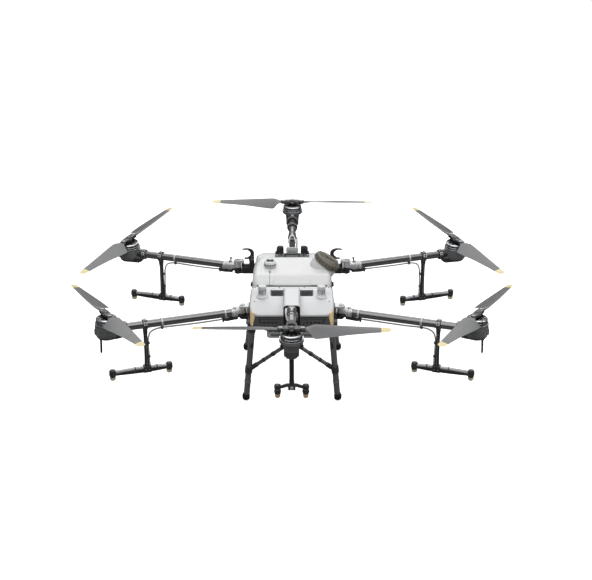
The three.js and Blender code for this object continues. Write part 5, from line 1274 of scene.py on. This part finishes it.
def lance(M, L, end, side):
    b = B(M)
    x, z = L - 196, -(340.0 if end else 258.0)
    clamp(b, x, 12, 27.6, side, "grey" if end else "collar")
    b.box(x - 10.6, x + 10.6, -13.6, 13.6, -45, -22, "black", bev=3, seg=3)
    rings = []
    zs = [-38, -44, -52, -60, -70, -90, -120, z * 0.55, z * 0.7, z * 0.85, z + 12, z + 4]
    tab = [[-z - 4, -z * 0.7, 70, 40], [13, 10, 9.5, 11], [12, 11, 11, 12]]
    for zz in zs:
        w = pchip(tab[0][::-1], tab[1][::-1], -zz)
        d = pchip(tab[0][::-1], tab[2][::-1], -zz)
        rings.append([(x + px, pz, zz) for px, pz in rrect(-w, w, -d, d, 5.4, 5)])
    b.loft(rings, "black")
    # stiffening flutes, screws and hose clips on the hanger
    for s in (-1, 1):
        b.box(x - 3, x + 3, s * 10.2, s * 12.1, z + 24, -66, "dark", bev=0.8)
    for zz in (-56, z * 0.5, z + 34):
        b.bolt((x, -12.0, zz), (0, -1, 0), 3.2, 1.8)
        b.bolt((x, 12.0, zz), (0, 1, 0), 3.2, 1.8)
    hy = 12 * side if not end else 9 * side
    if end:
        b.tube([(x - 17, 8 * side, -60), (x - 16, 6 * side, -100), (x - 15, -4 * side, -150), (x - 16, -8 * side, -205), (x - 15, 0, -260), (x - 14.5, 4 * side, z + 26), (x - 10, 6 * side, z + 12)], 4.6, "hose", n=16, per=8)
    else:
        b.tube([(x - 15.5, 12 * side, -92), (x - 15, 11 * side, -130), (x - 15.4, 6 * side, -178), (x - 16.5, 4 * side, z + 34), (x - 18, 2 * side, z + 12)], 4.6, "hose", n=16, per=8)
    for zz in (z * 0.42, z * 0.72):
        b.box(x - 21.5, x - 8, -10, 10, zz - 4, zz + 4, "black", bev=2)
    if not end:
        rings, mats = [], []
        for d, w, h in ((-112, 9, 9), (-98, 10.4, 10), (-60, 12.4, 11), (-20, 14.4, 12.4), (0, 15, 13), (24, 14.4, 12.4), (90, 13, 11.6), (140, 11, 10.4), (175, 9.6, 9.4)):
            rings.append([(x + d, q, z - 4.5 + r_) for q, r_ in rrect(-w, w, -h, h, min(w, h) * 0.62, 6)])
        b.loft(rings, "black")
        # pale silver-white tube along the top of the bar: a painted highlight for the shine along the bar's top
        b.tube([(x - 104, 0, z + 5), (x - 60, 0, z + 7.6), (x - 18, 0, z + 9)], 9.6, "collar", n=24, per=4)
        b.tube([(x + 18, 0, z + 9), (x + 90, 0, z + 7.6), (x + 166, 0, z + 5)], 9.6, "collar", n=24, per=4)
        b.box(x - 21, x + 21, -17.4, 17.4, z - 17, z + 20, "black", bev=4, seg=4)
        for d in (-52, 64):
            b.ring((x + d - 3, 0, z), (x + d + 3, 0, z), 18.4, 9, "black", 36, 1.0)
        for s in (-1, 1):
            b.bolt((x + s * 10, -17.2, z), (0, -1, 0), 3.2, 1.8)
            b.bolt((x + s * 10, 17.2, z), (0, 1, 0), 3.2, 1.8)
        for d in (-118, 183):
            nz = T(x + d, 0, z)
            b.lathe([(0, 20), (12.6, 20), (15, 18.8), (17, 15.6), (18, 8), (18, 5), (17, 4), (17, 2), (18, 1), (17.6, -8), (16.6, -14), (15, -18.6), (12, -19.4), (0, -19.4)], "black", 44, nz)
            for i in range(12):
                b.box(15.6, 18.6, -1.5, 1.5, -10, 0, "black", M=nz @ R(i * 30, "Z"), bev=0.6)
            b.lathe([(0, -18.6), (13.2, -18.6), (15.6, -20.4, "cream"), (15.8, -29, "cream"), (14.6, -33.4, "cream"), (12, -37, "cream"), (8.4, -38.6, "cream"), (3, -36.6, "steel"), (0, -36.6)], "orange", 44, nz)
            b.lathe([(0, 19.6), (7, 19.6), (7, 22.4), (5.8, 23.4), (0, 23.6)], "grey", 24, nz)
    else:
        # arched twin-boom, one each side, with stacked nozzles
        for s in (-1, 1):
            b.tube([(x, s * 8, z + 10), (x, s * 24, z + 10.5), (x, s * 42, z + 5), (x, s * 58, z), (x, s * 68, z - 3)], 9.0, "black", n=22, per=8, radii=(9.6, 7.6))
            b.tube([(x - 6.4, s * 12, z + 15), (x - 6, s * 28, z + 15), (x - 5, s * 44, z + 8.5), (x - 4, s * 58, z + 3)], 3.0, "cast", n=12, per=6)
            nz = T(x, s * 72, z)
            b.lathe([(0, 14), (13, 14), (16, 12.6), (17, 10), (17, -6), (16, -8.6), (13.4, -10), (13.4, -12.6), (16, -14), (17, -16.4), (17, -30), (15.8, -34), (14.2, -36), (0, -36)], "black", 44, nz)
            for i in range(12):
                b.box(15.4, 17.6, -1.4, 1.4, -29, -17.4, "black", M=nz @ R(i * 30, "Z"), bev=0.6)
                b.box(15.4, 17.6, -1.4, 1.4, -5, 9, "black", M=nz @ R(i * 30, "Z"), bev=0.6)
            b.lathe([(0, -35), (12.6, -35), (14, -37.4, "orange"), (14, -49, "orange"), (12.8, -54, "cream"), (10.4, -58.4, "cream"), (7.6, -60, "cream"), (3, -58.4, "steel"), (0, -58.4)], "orange", 44, nz)
            b.ring((x, s * 72, z - 12.4), (x, s * 72, z - 10.2), 14.6, 10, "cast", 36, 0.6)
            b.lathe([(0, 13.4), (7.4, 13.4), (7.4, 16.4), (6, 17.6), (0, 17.8)], "grey", 24, nz)
        b.box(x - 16, x + 16, -19, 19, z - 12, z + 16, "black", bev=5, seg=4)
        b.lathe([(0, 0), (8.6, 0), (9.4, 1), (9.4, 4), (8.2, 5.4), (0, 5.6)], "cast", 28, T(x + 15.4, 0, z + 2) @ R(90, "Y"))
        b.box(x - 13, x + 13, -14, 14, -86, -62, "black", bev=4, seg=3)
        b.lathe([(0, 0), (6, 0), (6.6, 1), (6.6, 3), (5.4, 4), (0, 4.2)], "cast", 24, T(x + 12.6, side * 4, -74) @ R(90, "Y"))
    return b


for name, key, hx, hy, az in ARMS:
    end = len(key) == 1
    z = END_ARM_Z if end else ARM_Z
    L = (END_Y - END_HY) if end else (SIDE_X - abs(hx)) / cos(rad(SWEEP))
    M = HOME @ T(hx, hy, z) @ R(az, "Z")
    side = 1 if (key[-1] == "r" or end) else -1
    k = Vector((0, 0, 1))
    if not end:
        k = AXIS[key[0]].copy()
        if key[1] == "l":
            k.x = -k.x
        k = R(-az, "Z").to_3x3() @ k
    ca = cos(rad(SWEEP))
    rings = [118, 196] if end else [max(80, (352 - abs(hx)) / ca), (674 - abs(hx)) / ca]
    cant = CANT * CANT_SIGN[key]
    body, rotor = "arm_" + name, "rotor_" + name
    piece("boom_" + name, arm_tube(M, L, k, rings, L - 196, end, key[0] == "f", side), body, ("arm_tube_" + name,))
    mm_ = motor_mount(M, L, cant, end, side)
    piece("motor_base_" + name, mm_, body, ("motor_mount_" + name,))
    piece("nozzle_lance_" + name, lance(M, L, end, side), body, ("spray_lance_" + name,))
    if key in ("fl", "fr"):
        w = B(M)
        w.lathe([(0, 0), (8.4, 0), (9.2, -1.4), (9.2, -11), (7.4, -14), (6.0, -15), (5.6, -60), (5.4, -86), (4.4, -88.6), (0, -89)], "black", 28, T(L + 34, 0, -40) @ R(-2, "Y"))
        piece("whip_" + name, w, body, ())
    RM = M @ T(L, 0, 0) @ R(-cant, "X") @ R(BLADE_AZ[key] - az, "Z")
    piece("bell_" + name, rotor_hub(RM), rotor, ("rotor_hub_" + name,))
    for tag, a in (("a", 0), ("b", 180)):
        BM = RM @ R(a, "Z") @ T(PIN_R, 0, 88)
        piece("propeller_" + name + "_" + tag, blade(BM, SPIN[key]), "blade_" + name + "_" + tag, ("blade_" + name + "_" + tag,), angle=50, weighted=False)

# ================================================================ studio
me = bpy.data.meshes.new("floor")
me.from_pydata([(-30, -30, 0), (30, -30, 0), (30, 30, 0), (-30, 30, 0)], [], [[0, 1, 2, 3]])
floor = bpy.data.objects.new("floor", me)
bpy.context.scene.collection.objects.link(floor)
fm = Nodes("studio_floor")
seen = fm.n("ShaderNodeLightPath").outputs["Is Camera Ray"]
fm.set(Emission_Color=(1.0, 1.0, 1.0, 1.0), Emission_Strength=fm.math("MULTIPLY", seen, 0.75), Base_Color=fm.mix(seen, (0.24, 0.24, 0.24), fm.mix(fm.ramp(fm.noise(0.6, 3.0), 0.3, 0.7), (0.955, 0.955, 0.955), (0.97, 0.97, 0.97))), Roughness=0.9, Specular_IOR_Level=0.0)
me.materials.append(fm.m)
floor.location.z = -0.0005

world = bpy.data.worlds.new("studio")
bpy.context.scene.world = world
world.use_nodes = True
wt = world.node_tree
bg = wt.nodes["Background"]
tcw = wt.nodes.new("ShaderNodeTexCoord")
sw = wt.nodes.new("ShaderNodeSeparateXYZ")
wt.links.new(tcw.outputs["Generated"], sw.inputs[0])
sky = wt.nodes.new("ShaderNodeMapRange")
sky.interpolation_type = "SMOOTHSTEP"
for i, v in zip((1, 2, 3, 4), (-0.10, 0.90, 0.06, 0.34)):
    sky.inputs[i].default_value = v
wt.links.new(sw.outputs["Z"], sky.inputs[0])
lp_ = wt.nodes.new("ShaderNodeLightPath")
pick = wt.nodes.new("ShaderNodeMix")
pick.data_type = "FLOAT"
wt.links.new(lp_.outputs["Is Camera Ray"], pick.inputs[0])
wt.links.new(sky.outputs[0], pick.inputs[2])
pick.inputs[3].default_value = 1.0
bg.inputs[0].default_value = (1, 1, 1, 1)
wt.links.new(pick.outputs[0], bg.inputs[1])


def area(name, loc, target, size, power, size_y=None):
    d = bpy.data.lights.new(name, "AREA")
    d.energy, d.size = power, size
    if size_y:
        d.shape, d.size_y = "RECTANGLE", size_y
    o = bpy.data.objects.new(name, d)
    o.location = loc
    o.rotation_euler = (Vector(target) - Vector(loc)).to_track_quat("-Z", "Y").to_euler()
    bpy.context.scene.collection.objects.link(o)


area("overhead", (0, -1.3, 4.4), (0, 0, 0.5), 6.0, 108, 4.0)
area("rear_softbox", (0, 4.4, 4.4), (0, 0, 0.5), 9.0, 200, 5.0)
area("front", (-1.5, -4.6, 3.4), (0, 0, 0.5), 1.6, 7, 1.2)
area("side", (4.2, -1.2, 2.2), (0, 0, 0.5), 1.2, 18, 1.6)

cam = bpy.data.objects.new("camera", bpy.data.cameras.new("camera"))
cam.data.sensor_width = 36.0
cam.data.lens = 1299.14 / 592 * 36.0
cam.data.clip_start, cam.data.clip_end = 0.05, 100
cam.location = (0.0219, -6.4697 + SY / 1000, 3.4948)
cam.rotation_euler = (rad(65.29), 0, 0)
bpy.context.scene.collection.objects.link(cam)
bpy.context.scene.camera = cam
bpy.context.scene.view_settings.view_transform = "Standard"
bpy.context.scene.view_settings.look = "None"
